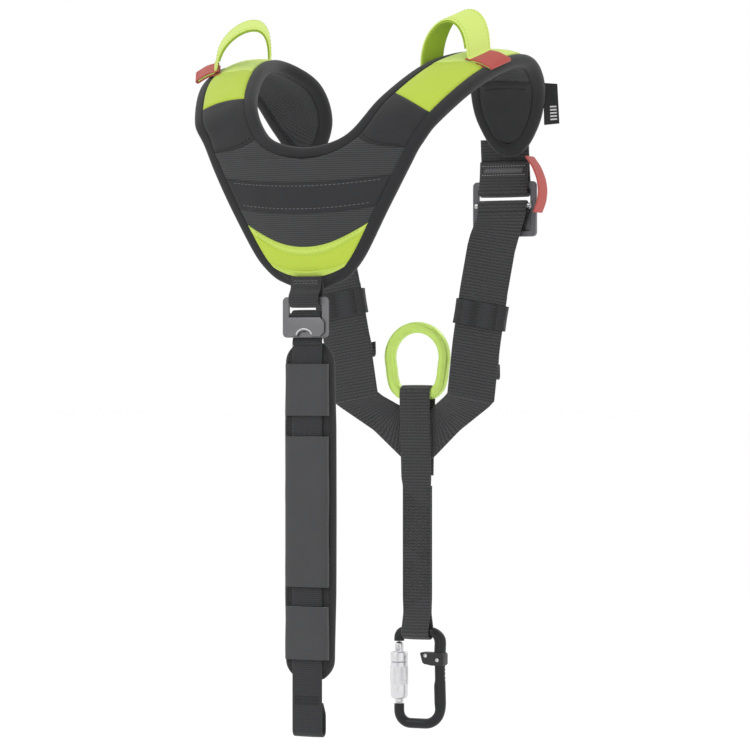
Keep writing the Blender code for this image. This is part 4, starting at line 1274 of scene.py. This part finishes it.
class FrontHarness:
    """The two front straps with their hangers, keepers and tails, sewn into a V at the chest."""

    BAR = np.array([0.0985, 0.084, -0.1120])
    BUCKLE_HEIGHT = 0.053
    SAG = 0.0052
    LOOP_RADIUS = 0.0053
    ROLL_RADIUS = 0.0041
    ROLL_LEG = 0.006
    WIDTH = 0.050
    THIN = 0.0022
    STRAP = np.array([(0.0860, 0.080, -0.1720), (0.0775, 0.0812, -0.2130),
                      (0.0685, 0.0835, -0.2650), (0.0620, 0.086, -0.3140)])
    KEEPER_Z = {"left": -0.225, "right": -0.236}
    KEEPER_HEIGHT = 0.024
    TAIL = {"left": (-0.207, -0.277), "right": (-0.215, -0.292)}
    V_Y = 0.098
    RING_BAR_Z = -0.3120
    RING_RADIUS = 0.0055
    V_LOW = -0.388
    CONNECTOR_TOP = -0.5445
    CONNECTOR_RADIUS = 0.0050
    PLAY = 0.0006
    VENTRAL_HALF = 0.016
    SLANT = 0.62
    EYE_HALF = 0.0145

    def build(self) -> None:
        """Builds both sides and the middle."""
        for side, sign in SIDES:
            self.build_hanger(side, sign)
            self.build_roll_and_feed(side, sign)
            self.build_strap(side, sign)
            self.build_keeper(side, sign)
            self.build_bow(side, sign)
        self.build_v()
        self.build_ventral()

    def half_vector(self, sign: float) -> Array:
        """Half-width of a strap: square to its slope, in its own plane."""
        slope = unit(self.STRAP[-1] - self.STRAP[0])
        return np.array([-slope[2], 0, sign * slope[0]]) * self.WIDTH / 2

    def strap_at(self, z: Array, sign: float) -> Array:
        """Middle of the strap at heights."""
        z = np.asarray(z, float)
        line = self.STRAP[::-1]
        point = np.stack([np.interp(z, line[:, 2], column) for column in line.T], axis=-1)
        return point * (sign, 1, 1)

    def build_hanger(self, side: str, sign: float) -> None:
        """Webbing sewn to the pad's front, down round the buckle's top bar and up to a hem.

        The loop hangs a few millimetres below the bar. Its hem, with two dotted rows and a
        bartack between them, faces the wearer's back.
        """
        x, y, z = self.BAR * (sign, 1, 1)
        half = self.WIDTH / 2
        profile = [(y - 0.0008, z + 0.044), (y + 0.0004, z + 0.030), (y + 0.0014, z + 0.020),
                   (y + 0.0030, z + 0.008), *arc((y, z - self.SAG), self.LOOP_RADIUS, 0, -180),
                   (y - 0.0030, z + 0.008), (y - 0.0018, z + 0.0225)]
        rows = [(x, a, b, half, 0, 0) for a, b in profile]
        tape = Tape.through(rows, self.THIN, 0.0009, 4, 0.0003)
        piece = tape.piece(f"{side}_hanger", "strap_webbing")
        settle(piece, "root", (f"{side}_sewn_webbing",))
        total = arc_length(tape.path)[-1]
        share = np.linspace(-0.86, 0.86, 17)
        rows = []
        for k, (back, name) in enumerate(((0.0042, "grey"), (0.0128, "grey"))):
            points, _, across, normal = tape.at(np.full(17, total - back), share, 0.0003)
            rows.append(Seam("white_thread", 0.003, 0.0014, 0.00026).piece(
                f"{name}_{k}", points, across, normal))
        settle(joined(f"{side}_hem_stitching", rows), "root")
        count = 58
        share = np.linspace(-0.78, 0.78, count)
        wave = np.where(np.arange(count) % 2, 1.0, -1.0) * 0.0007
        points, run, _, normal = tape.at(total - 0.0085 + wave, share, 0.0003)
        tack = Seam("grey_thread", 0.001, 0.0040, 0.00065).piece(f"{side}_hem_bartack", points, run,
                                                             normal)
        settle(tack, "root")

    def build_roll_and_feed(self, side: str, sign: float) -> None:
        """The strap's roll over the cross bar, and the length that blends into the strap."""
        x, y, z = self.BAR * (sign, 1, 1)
        low = 0.0035 - self.BUCKLE_HEIGHT
        centre = (y - 0.0044, z + 0.40 * low)
        reach = self.ROLL_RADIUS
        roll = [(centre[0] + reach, centre[1] - self.ROLL_LEG), *arc(centre, reach, 0, 180),
                (centre[0] - reach, centre[1] - self.ROLL_LEG)]
        rows = [(x, a, b, self.WIDTH / 2, 0, 0) for a, b in roll]
        tape = Tape.through(rows, self.THIN, 0.0007, 2, 0.0001)
        settle(tape.piece(f"{side}_roll", "strap_webbing"), f"{side}_buckle",
               (f"{side}_webbing_turn",))
        top, half = self.STRAP[0], self.half_vector(sign)
        feed = [(self.BAR[0], centre[0] - reach, centre[1] - 0.0063),
                (self.BAR[0] - 0.001, centre[0] - reach, centre[1] - 0.012),
                (top[0] + 0.003, top[1] - 0.0005, top[2] + 0.010), tuple(top + (0, 0, 0.0003))]
        straight = (self.WIDTH / 2, 0, 0)
        halves = (straight, straight, tuple(half), tuple(half))
        rows = [(sign * a, b, c, *h) for (a, b, c), h in zip(feed, halves)]
        piece = Tape.through(rows, self.THIN, 0.0012, 6, 0.0002).piece(f"{side}_feed_webbing",
                                                                       "strap_webbing")
        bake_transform(piece)
        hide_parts(f"{side}_feed")

    def build_strap(self, side: str, sign: float) -> None:
        """The strap down to the V, and its tail folded up on the outer side."""
        half = self.half_vector(sign)
        line = self.STRAP + np.array([(0, 0, 0.0009), (0, 0, 0), (0, 0, 0), (-0.0002, 0, -0.0016)])
        rows = [(*(p * (sign, 1, 1)), *half) for p in line]
        strap = Tape.through(rows, self.THIN, 0.0020, 10, 0.0002)
        settle(strap.piece(f"{side}_chest_strap", "strap_webbing"), "chest",
               (f"{side}_strap",))
        high, low = self.TAIL[side]
        z = np.linspace(high, low, 8)
        lift = np.array([0.0002, 0.0001, 0, 0, 0, 0, 0.0012, 0.0040])
        points = self.strap_at(z, sign) + np.stack(
            [np.zeros(8), self.THIN + 0.0003 + lift, np.zeros(8)], axis=1)
        end = points[-1]
        fold = [end + (0, 0.0012, -0.0022), end + (0, 0.0030, -0.0022), end + (0, 0.0040, 0.0),
                end + (0, 0.0037, 0.006), end + (0, 0.0033, 0.012)]
        shape = np.vstack([points, fold])
        rows = np.hstack([shape, np.broadcast_to(half * 0.965, shape.shape)])
        tail = Tape.through(rows, self.THIN * 0.9, 0.0010, 3, 0.0002)
        settle(tail.piece(f"{side}_folded_tail", "strap_webbing"), "chest",
               (f"{side}_tail",))

    def build_keeper(self, side: str, sign: float) -> None:
        """An elastic band round strap and tail: a flat ring, drawn in a little at mid height."""
        centre = self.strap_at(self.KEEPER_Z[side], sign)
        half = self.half_vector(sign)
        across, down = unit(half), unit(np.cross(half, [0, 1, 0]))
        out = np.array([0, 1.0, 0])
        wide = self.WIDTH / 2 + 0.0022
        low, high = -self.THIN / 2 - 0.0016, 1.5 * self.THIN + 0.0019
        turn = np.linspace(0, 2 * np.pi, 72, endpoint=False)
        cosine, sine = np.cos(turn), np.sin(turn)
        x = np.sign(cosine) * np.abs(cosine) ** 0.16
        y = np.sign(sine) * np.abs(sine) ** 0.4
        t = np.linspace(0, 1, 30)
        waist = 1 - 0.010 * np.sin(np.pi * t)
        rows = []
        for wall in (0.0, 0.0013):
            ring_x = (wide - wall) * x[None, :] * waist[:, None]
            ring_y = (low + high) / 2 + ((high - low) / 2 - wall) * y[None, :]
            drop = (t[:, None] - 0.5) * self.KEEPER_HEIGHT * (-1 if wall else 1)
            ring_y = np.broadcast_to(ring_y, ring_x.shape)
            rows.append(centre + ring_x[..., None] * across + ring_y[..., None] * out
                        + np.broadcast_to(drop, ring_x.shape)[..., None] * down)
        shell = np.concatenate(rows)
        u = np.broadcast_to(np.append(turn, 2 * np.pi) * 0.017, (61, 73))
        v = np.broadcast_to(np.linspace(0, 0.05, 61)[:, None], (61, 73))
        keeper = grid_piece(f"{side}_elastic_keeper", shell, "webbing", np.stack([v, u], axis=-1),
                            closed_along=True)
        settle(keeper, f"{side}_keeper", (f"{side}_keeper",))

    def build_bow(self, side: str, sign: float) -> None:
        """The red release tape that bows out beside the buckle."""
        bow = np.array([(0.1290, 0.0720, -0.0860), (0.1360, 0.0715, -0.0950),
                        (0.1412, 0.0712, -0.1070), (0.1430, 0.0712, -0.1180),
                        (0.1416, 0.0716, -0.1290), (0.1370, 0.0724, -0.1390)])
        rows = np.hstack([bow * (sign, 1, 1), np.broadcast_to([0.0008, 0.009, 0], bow.shape)])
        tape = Tape.through(rows, 0.0016, 0.0012, 10, 0.0001)
        settle(tape.piece(f"{side}_release_tape", "red_tape"), "root",
               (f"{side}_red_bow",))

    def build_v(self) -> None:
        """The V: each strap turns on a stitched fold and runs diagonally to the middle."""
        y = self.V_Y
        rows = [((0.0374, 0.0867, -0.3106), (0.0866, 0.0862, -0.3192)),
                ((0.0330, 0.0890, -0.3145), (0.0800, 0.0885, -0.3250)),
                ((0.0180, 0.0975, -0.3240), (0.0460, 0.0955, -0.3480)),
                ((0.0165, 0.0980, -0.3255), (0.0190, 0.0980, -0.3730)),
                ((0.0, y, -0.3400), (0.0, y, self.V_LOW))]
        inner = np.array([a for a, _ in rows])
        outer = np.array([b for _, b in rows])
        middle, half = (inner + outer) / 2, (outer - inner) / 2
        flip = np.array([-1, 1, 1])
        path = np.vstack([middle, (middle * flip)[-2::-1]])
        halves = np.vstack([half, (half * flip)[-2::-1]])
        tape = Tape.through(np.hstack([path, halves]), self.THIN, 0.0015, 2, 0.0)
        settle(tape.piece("chest_v", "strap_webbing"), "chest",
               ("chest_gusset",))
        length = arc_length(tape.path)[-1]
        share = np.linspace(-0.85, 0.85, 15)
        lines = []
        for k, at in enumerate((0.0030, length - 0.0030)):
            for face in (-1, 1):
                points, _, across, normal = tape.at(np.full(15, at), share, face * 0.0001)
                lines.append(Seam("grey_thread", 0.003, 0.0022, 0.00045).piece(
                    f"v_{k}_{face}", points, across, face * normal))
        settle(joined("chest_v_stitching", lines), "chest")

    def build_ventral(self) -> None:
        """The strap over the ring's bar, down both faces of the V and round the connector."""
        y = self.V_Y
        close, beside = self.THIN + 0.0005, self.THIN / 2 + 0.0003
        over = self.RING_RADIUS + self.PLAY + self.THIN / 2
        under = self.CONNECTOR_RADIUS + self.PLAY + self.THIN / 2
        eye, wide, narrow = self.CONNECTOR_TOP, self.VENTRAL_HALF, self.VENTRAL_HALF * 0.94
        run = [(y + close, self.V_LOW - 0.004, wide), (y + close + 0.002, -0.345, wide),
               *((a, b, wide) for a, b in arc((y, self.RING_BAR_Z), over, 0, 180)),
               (y - close - 0.0026, -0.345, wide), (y - close, self.V_LOW - 0.006, wide),
               (y - beside, -0.402, narrow), (y - beside, eye + 0.034, narrow),
               (y - beside, eye + 0.018, self.EYE_HALF),
               *((a, b, self.EYE_HALF) for a, b in arc((y, eye), under, 180, 360)),
               (y + beside, eye + 0.018, self.EYE_HALF), (y + beside, eye + 0.034, narrow),
               (y + beside, -0.402, narrow)]
        rows = [(0, a, b, half, 0, 0) for a, b, half in run]
        tape = Tape.through(rows, self.THIN, 0.0012, 3, 0.0002)
        settle(tape.piece("ventral_webbing", "strap_webbing"), "chest",
               ("ventral_strap",))
        self.build_ventral_stitching(y, beside)

    def build_ventral_stitching(self, y: float, beside: float) -> None:
        """Slanted rows of stitches over the doubled webbing, with a row down each selvedge.

        The slant turns round half way down. Each slanted row crosses the strap once.
        """
        top, low = -0.409, self.CONNECTOR_TOP + 0.028
        half = self.VENTRAL_HALF * 0.94 - 0.0030
        starts = np.arange(top, low + 0.010, -0.0036)
        share = np.linspace(-1, 1, 7)
        middle = (top + low) / 2
        pieces = []
        for face, name in ((-1, "back"), (1, "front")):
            turn = np.where(starts > middle, 1.0, -1.0)
            x = np.broadcast_to(share * half, (len(starts), 7))
            z = starts[:, None] - 0.0085 + turn[:, None] * -x * self.SLANT
            depth = y + face * (beside + self.THIN / 2 + 0.0002)
            points = np.stack([x, np.full(x.shape, depth), z], axis=-1).reshape(-1, 3)
            fall = np.broadcast_to(-self.SLANT * turn[:, None], x.shape)
            along = unit(np.stack([np.ones(x.shape), np.zeros(x.shape), fall], axis=-1))
            normal = np.broadcast_to([0, face, 0.0], points.shape)
            pieces.append(Seam("webbing", 0.004, 0.0043, 0.00042).piece(
                f"slant_{name}", points, along.reshape(-1, 3), normal))
            for edge in (-1, 1):
                column = np.arange(top + 0.002, low - 0.002, -0.0034)
                points = np.stack([np.full(column.shape, edge * (half + 0.0014)),
                                   np.full(column.shape, y + face * (beside + self.THIN / 2)),
                                   column], axis=1)
                pieces.append(Seam("webbing", 0.0034, 0.0024, 0.0004).piece(
                    f"edge_{name}_{edge}", points, np.broadcast_to([0, 0, -1.0], points.shape),
                    np.broadcast_to([0, face, 0.0], points.shape)))
        settle(joined("ventral_stitching", pieces), "chest")


# ---------------------------------------------------------------- hardware


def rounded_box(centre: tuple[float, float], half_x: float, half_z: float, radius: float,
                corner: int = 6) -> Array:
    """Outline of a box with rounded corners, as (x, z) points in one turn."""
    turn = np.linspace(0, np.pi / 2, corner)
    rows = []
    for k, (sx, sz) in enumerate(((1, 1), (-1, 1), (-1, -1), (1, -1))):
        a = turn + k * np.pi / 2
        rows.append(np.stack([centre[0] + sx * (half_x - radius) + radius * np.cos(a),
                              centre[1] + sz * (half_z - radius) + radius * np.sin(a)], axis=1))
    return np.concatenate(rows)


def inset(outline: Array, distance: float) -> Array:
    """An (x, z) outline moved inwards: each point goes along its own normal."""
    before, after = np.roll(outline, 1, axis=0), np.roll(outline, -1, axis=0)
    run = unit(after - before)
    x, z = outline.T
    area = 0.5 * np.sum(x * np.roll(z, -1) - z * np.roll(x, -1))
    return outline + np.sign(area) * np.stack([-run[:, 1], run[:, 0]], axis=1) * distance


def levels(outlines: Sequence[Array], depths: Sequence[float]) -> Array:
    """Stacks (x, z) outlines at depths along Y."""
    return np.stack([np.stack([o[:, 0], np.full(len(o), y), o[:, 1]], axis=1)
                     for o, y in zip(outlines, depths)])


def slab_piece(name: str, outline: Array, y: float, half: float, edge: float,
               finish: str) -> Body:
    """A flat plate across Y with its edges broken by a small chamfer."""
    small, less = inset(outline, edge), inset(outline, edge * 0.3)
    rows = levels([small, less, outline, outline, less, small],
                  [y - half, y - half + edge * 0.3, y - half + edge, y + half - edge,
                   y + half - edge * 0.3, y + half])
    return grid_piece(name, rows, finish)


def frame_piece(name: str, outer: Array, inner: Array, y: float, half: float, edge: float,
                finish: str) -> Body:
    """A flat frame across Y between two outlines of the same number of points."""
    loops = [outer, inset(outer, edge), inset(inner, -edge), inner, inner, inset(inner, -edge),
             inset(outer, edge), outer]
    depths = [half - edge, half, half, half - edge, edge - half, -half, -half, edge - half]
    return grid_piece(name, levels(loops, [y + d for d in depths]), finish, closed_along=True)


def rod_piece(name: str, path: Array, radius: Array | float, up: Sequence[float], finish: str,
              closed: bool = False, count: int = 32, flat: float = 1.0) -> Body:
    """A rod along a path.

    Its section is a superellipse: (cos a, sin a) with each share raised to the power given.

    Args:
        name: Name of the piece.
        path: Middle points, in metres.
        radius: One radius, or one for each point.
        up: Direction square to the plane of the path.
        finish: Name of its finish.
        closed: Whether the path runs into itself.
        count: Points round the section.
        flat: Power of the shares: 1 is round, and less is squarer.

    Returns:
        The finished piece.
    """
    turn = np.linspace(0, 2 * np.pi, count, endpoint=False)
    c, s = np.cos(turn), np.sin(turn)
    c, s = np.sign(c) * np.abs(c) ** flat, np.sign(s) * np.abs(s) ** flat
    run = tangents(path, closed)
    out = unit(np.cross(run, up))
    size = np.broadcast_to(radius, (len(path),))[:, None, None]
    points = path[:, None] + size * (c[:, None] * out[:, None] + s[:, None] * np.asarray(up))
    return grid_piece(name, points, finish, closed_along=closed)


def turned_piece(name: str, profile: Sequence[tuple[float, float]], centre: tuple[float, float],
                 finish: str, bore: float | None = None, count: int = 64) -> Body:
    """A piece turned about a vertical axis from (radius, z) points, with an optional bore."""
    radius, z = np.array(profile).T
    if bore is not None:
        radius = np.concatenate([radius, [bore, bore]])
        z = np.concatenate([z, [z[-1], z[0]]])
    turn = np.linspace(0, 2 * np.pi, count, endpoint=False)
    points = np.stack([centre[0] + radius[:, None] * np.cos(turn),
                       centre[1] + radius[:, None] * np.sin(turn),
                       np.broadcast_to(z[:, None], (len(z), count))], axis=-1)
    return grid_piece(name, points, finish, closed_along=bore is not None)


@dataclass(frozen=True)
class Buckle:
    """A flat two-bar buckle with a hinged plate over its lower half.

    Attributes:
        side: Name of its side.
        bar: Middle of its top bar.
        width: Width of the webbing that goes through it.
        height: Its height.
        outwards: Sign of the Y direction in which its plate lies.
    """

    side: str
    bar: tuple[float, float, float]
    width: float
    height: float
    outwards: float

    def build(self) -> None:
        """Builds the frame, the cross bar with its lugs, and the plate."""
        x, y, z = self.bar
        half, low = self.width / 2 + 0.008, 0.0035 - self.height
        body = f"{self.side}_buckle"
        middle = (x, z + 0.0035 - self.height / 2)
        outer = rounded_box(middle, half, self.height / 2, 0.0042)
        high, base = z - 0.0035, z + low + 0.006
        inner = rounded_box((x, (high + base) / 2), self.width / 2 + 0.0015, (high - base) / 2,
                            0.0022)
        frame = frame_piece(f"{self.side}_bevelled_frame", outer, inner, y, 0.0016, 0.0007,
                            "buckle_metal")
        settle(frame, body, (f"{self.side}_buckle_frame",))
        self.build_bar(body, x, y, z + 0.40 * low)
        self.build_plate(body, x, y, z, half, low)

    def build_bar(self, body: str, x: float, y: float, z: float) -> None:
        """The round bar that the webbing turns on, held at both ends."""
        reach = self.width / 2 + 0.004
        share = np.array([-1, -1, -0.985, 0, 0.985, 1, 1]) * reach
        radius = np.array([0.0003, 0.0021, 0.0025, 0.0025, 0.0025, 0.0021, 0.0003])
        path = np.stack([x + share, np.full(7, y - self.outwards * 0.0044), np.full(7, z)], axis=1)
        path[0, 0] -= 0.0002
        path[-1, 0] += 0.0002
        bar = rod_piece(f"{self.side}_turning_bar", path, radius, (0, 1, 0), "steel")
        settle(bar, body, (f"{self.side}_cross_bar",))

    def build_plate(self, body: str, x: float, y: float, z: float, half: float,
                    low: float) -> None:
        """The plate: cut corners, and an arch in its lower edge for a fingertip."""
        wide, top, base = half - 0.003, z + 0.45 * low, z + low + 0.001
        cut, arch = 0.004, 0.22 * self.width
        turn = np.radians(np.linspace(8, 172, 17))
        right = [(wide - cut, top), (wide, top - cut), (wide, base + cut), (wide - cut, base)]
        curve = [(arch * math.cos(a), base + arch * 0.75 * math.sin(a)) for a in turn]
        left = [(-a, b) for a, b in right[::-1]]
        outline = np.array([*right, (arch + 0.0006, base), *curve, (-arch - 0.0006, base), *left])
        outline[:, 0] += x
        depth = y + self.outwards * 0.0030
        plate = slab_piece(f"{self.side}_hinged_plate", outline, depth, 0.0011, 0.0006,
                           "buckle_metal")
        settle(plate, body, (f"{self.side}_buckle_plate",))
        lip = np.array([(x + (arch + 0.0012) * math.cos(a), depth + self.outwards * 0.0009,
                         base + 0.0010 + (arch * 0.75 + 0.0010) * math.sin(a)) for a in turn])
        edge = rod_piece(f"{self.side}_arch_lip", lip, 0.0008, (0, 1, 0), "steel", count=12)
        settle(edge, body)


class ChestRing:
    """The D-shaped ring: a forged bar with flattened faces, bent to a crown and a straight bar."""

    Y = 0.098
    CROWN_Z = -0.2765
    CROWN_RADIUS = 0.029
    BAR_Z = -0.312
    RADIUS = 0.0055

    def build(self) -> None:
        """Bends the bar and closes it."""
        crown = arc((0.0, self.CROWN_Z), self.CROWN_RADIUS, -15, 195, 42)
        foot = [(-0.0265, -0.2970), (-0.0240, -0.3055), (-0.0175, self.BAR_Z), (0.0, self.BAR_Z),
                (0.0175, self.BAR_Z), (0.0240, -0.3055), (0.0265, -0.2970)]
        path = np.array([(a, self.Y, b) for a, b in crown + foot])
        path = relaxed(path, 0.0012, 4, closed=True)
        ring = rod_piece("anodised_ring", path, self.RADIUS, (0, 1, 0), "ring_metal", closed=True,
                         count=40, flat=0.72)
        settle(ring, "ring", ("ring",))


class Connector:
    """The locking connector: a grooved body, a gate with its sleeve and a plastic keeper."""

    Y = 0.098
    GATE_X = -0.0195
    BAR = 0.0050

    def build(self) -> None:
        """Builds the body, the gate, the locking parts and the keeper."""
        self.build_body()
        self.build_gate()
        self.build_sleeve()
        self.build_plastic()

    def body_path(self) -> Array:
        """Middle line of the body from the gate's hinge round to its nose."""
        line = [(self.GATE_X, -0.5540), *arc((-0.0135, -0.5505), 0.006, 180, 90),
                *arc((0.0145, -0.5545), 0.010, 90, 0), (0.0235, -0.5800),
                *arc((0.0085, -0.6180), 0.016, 0, -90), *arc((-0.0075, -0.6220), 0.012, -90, -180),
                (self.GATE_X, -0.6152)]
        return relaxed(np.array([(a, self.Y, b) for a, b in line]), 0.0009, 3)

    def build_body(self) -> None:
        """Sweeps the bar, flattened into an I on its spine.

        The spine is 1.16 times as wide and 1.1 times as deep as the round bar, and a groove
        runs down both faces: r = R (1 - 0.26 g exp(-(w / 0.42)^2)), with w the angle from the
        face and g the share of the spine. Its middle bulges inwards by 1.2 mm, and its outer
        side has shallow notches 4.2 mm apart.
        """
        path = self.body_path()
        turn = np.linspace(0, 2 * np.pi, 48, endpoint=False)
        run = tangents(path)
        up = np.array([0, 1.0, 0])
        out = unit(np.cross(run, up))
        x, z = path[:, 0], path[:, 2]
        spine = (smooth_step(0.008, 0.017, x) * smooth_step(-0.624, -0.612, z)
                 * smooth_step(-0.545, -0.552, z))[:, None]
        away = np.minimum(np.abs(turn - np.pi / 2), np.abs(turn - 1.5 * np.pi))
        radius = self.BAR * (1 - 0.26 * spine * np.exp(-(away / 0.42) ** 2))
        across = radius * np.cos(turn) * (1 + 0.16 * spine)
        tall = radius * np.sin(turn) * (1 + 0.10 * spine)
        bumps = np.exp(-((z[:, None] + 0.5840) / 0.010) ** 6) * spine
        across += 0.0012 * bumps * np.clip(-np.sign(np.cos(turn) * out[:, :1]), 0, 1)
        notches = np.where(np.sin(z * 2 * np.pi / 0.0042)[:, None] > 0, 0.0004, 0.0)
        across -= (notches * bumps * np.sign(np.cos(turn))
                   * np.clip(np.cos(turn) * out[:, :1], 0, 1))
        points = path[:, None] + across[..., None] * out[:, None] + tall[..., None] * up
        body = grid_piece("forged_body", points, "connector_metal")
        settle(body, "connector", ("connector_body",))

    def build_gate(self) -> None:
        """The gate's shaft, and the rivet it turns on."""
        shaft = [(0.0004, -0.5546), (0.0020, -0.5549), (0.0034, -0.5558), (0.0043, -0.5572),
                 (0.0043, -0.6134),
                 (0.0036, -0.6142), (0.0004, -0.6144)]
        centre = (self.GATE_X, self.Y)
        settle(turned_piece("gate_shaft", shaft, centre, "sleeve_metal"), "gate",
               ("gate",))
        rivet = turned_piece("gate_rivet_head", [(0.0002, 0.0012), (0.0016, 0.0010),
                                                 (0.0024, 0.0005), (0.0026, 0.0), (0.0026, -0.0020),
                                                 (0.0002, -0.0020)], (0, 0), "steel", count=32)
        self.turn_to_back(rivet, (self.GATE_X, self.Y - 0.0041, -0.5608))
        settle(rivet, "gate", ("gate_rivet",))

    @staticmethod
    def turn_to_back(piece: Body, place: Sequence[float]) -> None:
        """Turns a piece's Z axis to -Y and moves it, in its own points."""
        matrix = Matrix.Translation(place) @ Matrix.Rotation(math.pi / 2, 4, "X")
        piece.data.transform(matrix)

    def build_sleeve(self) -> None:
        """The collar, and the sleeve with a knurled grip and a rounded nose.

        The knurl lifts the surface by 0.35 mm times cos(20 a + k z) cos(20 a - k z).
        """
        centre = (self.GATE_X, self.Y)
        collar = [(0.0074, -0.5645), (0.0082, -0.5649), (0.00865, -0.5657), (0.00865, -0.5735),
                  (0.0080, -0.5742)]
        settle(turned_piece("gate_collar", collar, centre, "sleeve_metal", bore=0.0057),
               "collar", ("sleeve_collar",))
        z = np.concatenate([[-0.5745, -0.5749, -0.5758], np.linspace(-0.5785, -0.5965, 46),
                            [-0.5972, -0.5980, -0.5990, -0.6050, -0.6080, -0.6096, -0.6105]])
        base = np.concatenate([[0.0078, 0.0084, 0.0086], np.full(46, 0.0088),
                               [0.0085, 0.0085, 0.0087, 0.0087, 0.0084, 0.0076, 0.0062]])
        turn = np.linspace(0, 2 * np.pi, 160, endpoint=False)
        grip = smooth_step(-0.5965, -0.5958, z) * smooth_step(-0.5785, -0.5792, z)
        wave = np.cos(20 * turn + z[:, None] * 2300) * np.cos(20 * turn - z[:, None] * 2300)
        radius = base[:, None] + 0.00035 * grip[:, None] * wave
        radius = np.vstack([radius, np.full((2, 160), 0.0050)])
        z = np.append(z, [-0.6105, -0.5745])
        points = np.stack([centre[0] + radius * np.cos(turn), centre[1] + radius * np.sin(turn),
                           np.broadcast_to(z[:, None], radius.shape)], axis=-1)
        sleeve = grid_piece("knurled_sleeve", points, "sleeve_metal", closed_along=True)
        settle(sleeve, "sleeve", ("locking_sleeve",))

    def build_plastic(self) -> None:
        """The plastic piece that keeps the strap at the top, with its two screws."""
        outline = np.array([(0.0050, -0.5650), (0.0065, -0.5640), (0.0285, -0.5640),
                            (0.0300, -0.5655), (0.0300, -0.5750), (0.0285, -0.5768),
                            (0.0175, -0.5768), (0.0095, -0.5755), (0.0075, -0.5740)])[::-1]
        block = slab_piece("plastic_keeper", outline, self.Y, 0.0062, 0.0009, "plastic")
        settle(block, "connector", ("connector_keeper",))
        screws = []
        for k, (x, z) in enumerate(((0.0112, -0.5672), (0.0236, -0.5712))):
            head = turned_piece(f"keeper_screw_{k}", [
                (0.0002, 0.0002), (0.0007, 0.0002), (0.0008, 0.0008), (0.0015, 0.0008),
                (0.0019, 0.0004), (0.0019, -0.0006), (0.0002, -0.0006)], (0, 0), "steel", count=24)
            self.turn_to_back(head, (x, self.Y - 0.0062, z))
            screws.append(head)
        settle(joined("keeper_screws", screws), "connector")


ASSEMBLIES = (
    Yoke(), GearLoops(), WovenTag(), BackStrap(), FrontHarness(),
    Buckle("back", (0, -0.149, -0.2265), 0.030, 0.037, -1.0),
    Buckle("left", (-0.0985, 0.084, -0.1120), 0.050, 0.053, 1.0),
    Buckle("right", (0.0985, 0.084, -0.1120), 0.050, 0.053, 1.0),
    ChestRing(), Connector(),
)


# ---------------------------------------------------------------- studio


class Studio:
    """Floor, lights and camera."""

    AIM = (0.0, 0.0, -0.294)
    DISTANCE = 3.2
    AZIMUTH = math.radians(25)
    LENS = 161.7
    FLOOR_Z = -0.72

    def build(self) -> None:
        """Makes the pale surroundings."""
        self.build_floor()
        self.build_lights()
        self.build_camera()

    def build_floor(self) -> None:
        """A wide pale floor below the set."""
        x, y = np.meshgrid(np.linspace(-40, 40, 3), np.linspace(-40, 40, 3))
        points = np.stack([x, y, np.full(x.shape, self.FLOOR_Z)], axis=-1).reshape(-1, 3)
        i, j = np.meshgrid(np.arange(2), np.arange(2), indexing="ij")
        quads = np.stack([i * 3 + j, i * 3 + j + 1, (i + 1) * 3 + j + 1, (i + 1) * 3 + j], axis=-1)
        mesh = bpy.data.meshes.new("studio_floor")
        mesh.from_pydata(points, [], quads.reshape(-1, 4).tolist())
        material = bpy.data.materials.new("pale_floor")
        material.use_nodes = True
        shader = material.node_tree.nodes["Principled BSDF"]
        shader.inputs["Base Color"].default_value = (1.0, 1.0, 1.0, 1)
        shader.inputs["Roughness"].default_value = 0.95
        mesh.materials.append(material)
        floor = bpy.data.objects.new("studio_floor", mesh)
        bpy.context.scene.collection.objects.link(floor)

    def build_lights(self) -> None:
        """A bright even surround with a large key light, a fill and a rim light."""
        world = bpy.data.worlds.new("studio_world")
        bpy.context.scene.world = world
        world.use_nodes = True
        backdrop = world.node_tree.nodes["Background"]
        backdrop.inputs["Color"].default_value = (1, 1, 1, 1)
        backdrop.inputs["Strength"].default_value = 1.0
        for name, place, size, power in (("key", (-1.1, -2.2, 1.7), 1.2, 9.0),
                                         ("fill", (2.4, -1.4, 0.5), 1.6, 3.0),
                                         ("rim", (0.6, 1.9, 1.4), 1.2, 5.0)):
            light = bpy.data.lights.new(name, "AREA")
            light.energy = power
            light.size = size
            lamp = bpy.data.objects.new(name, light)
            bpy.context.scene.collection.objects.link(lamp)
            lamp.location = place
            aim = Vector(self.AIM) - Vector(place)
            lamp.rotation_euler = aim.to_track_quat("-Z", "Y").to_euler()

    def build_camera(self) -> None:
        """A long lens level with the set's middle, from behind the wearer's right."""
        data = bpy.data.cameras.new("camera")
        data.lens = self.LENS
        data.sensor_width = 36.0
        data.clip_end = 60.0
        camera = bpy.data.objects.new("camera", data)
        bpy.context.scene.collection.objects.link(camera)
        camera.location = (self.AIM[0] + self.DISTANCE * math.sin(self.AZIMUTH),
                           self.AIM[1] - self.DISTANCE * math.cos(self.AZIMUTH), self.AIM[2])
        camera.rotation_euler = (math.pi / 2, 0, self.AZIMUTH)
        bpy.context.scene.camera = camera


def main() -> None:
    """Builds the sub-assemblies in order, then the studio."""
    logging.basicConfig(level=logging.INFO, format="%(message)s")
    bpy.context.scene.view_settings.view_transform = "Standard"
    for assembly in ASSEMBLIES:
        assembly.build()
    Studio().build()


if __name__ == "__main__":
    main()
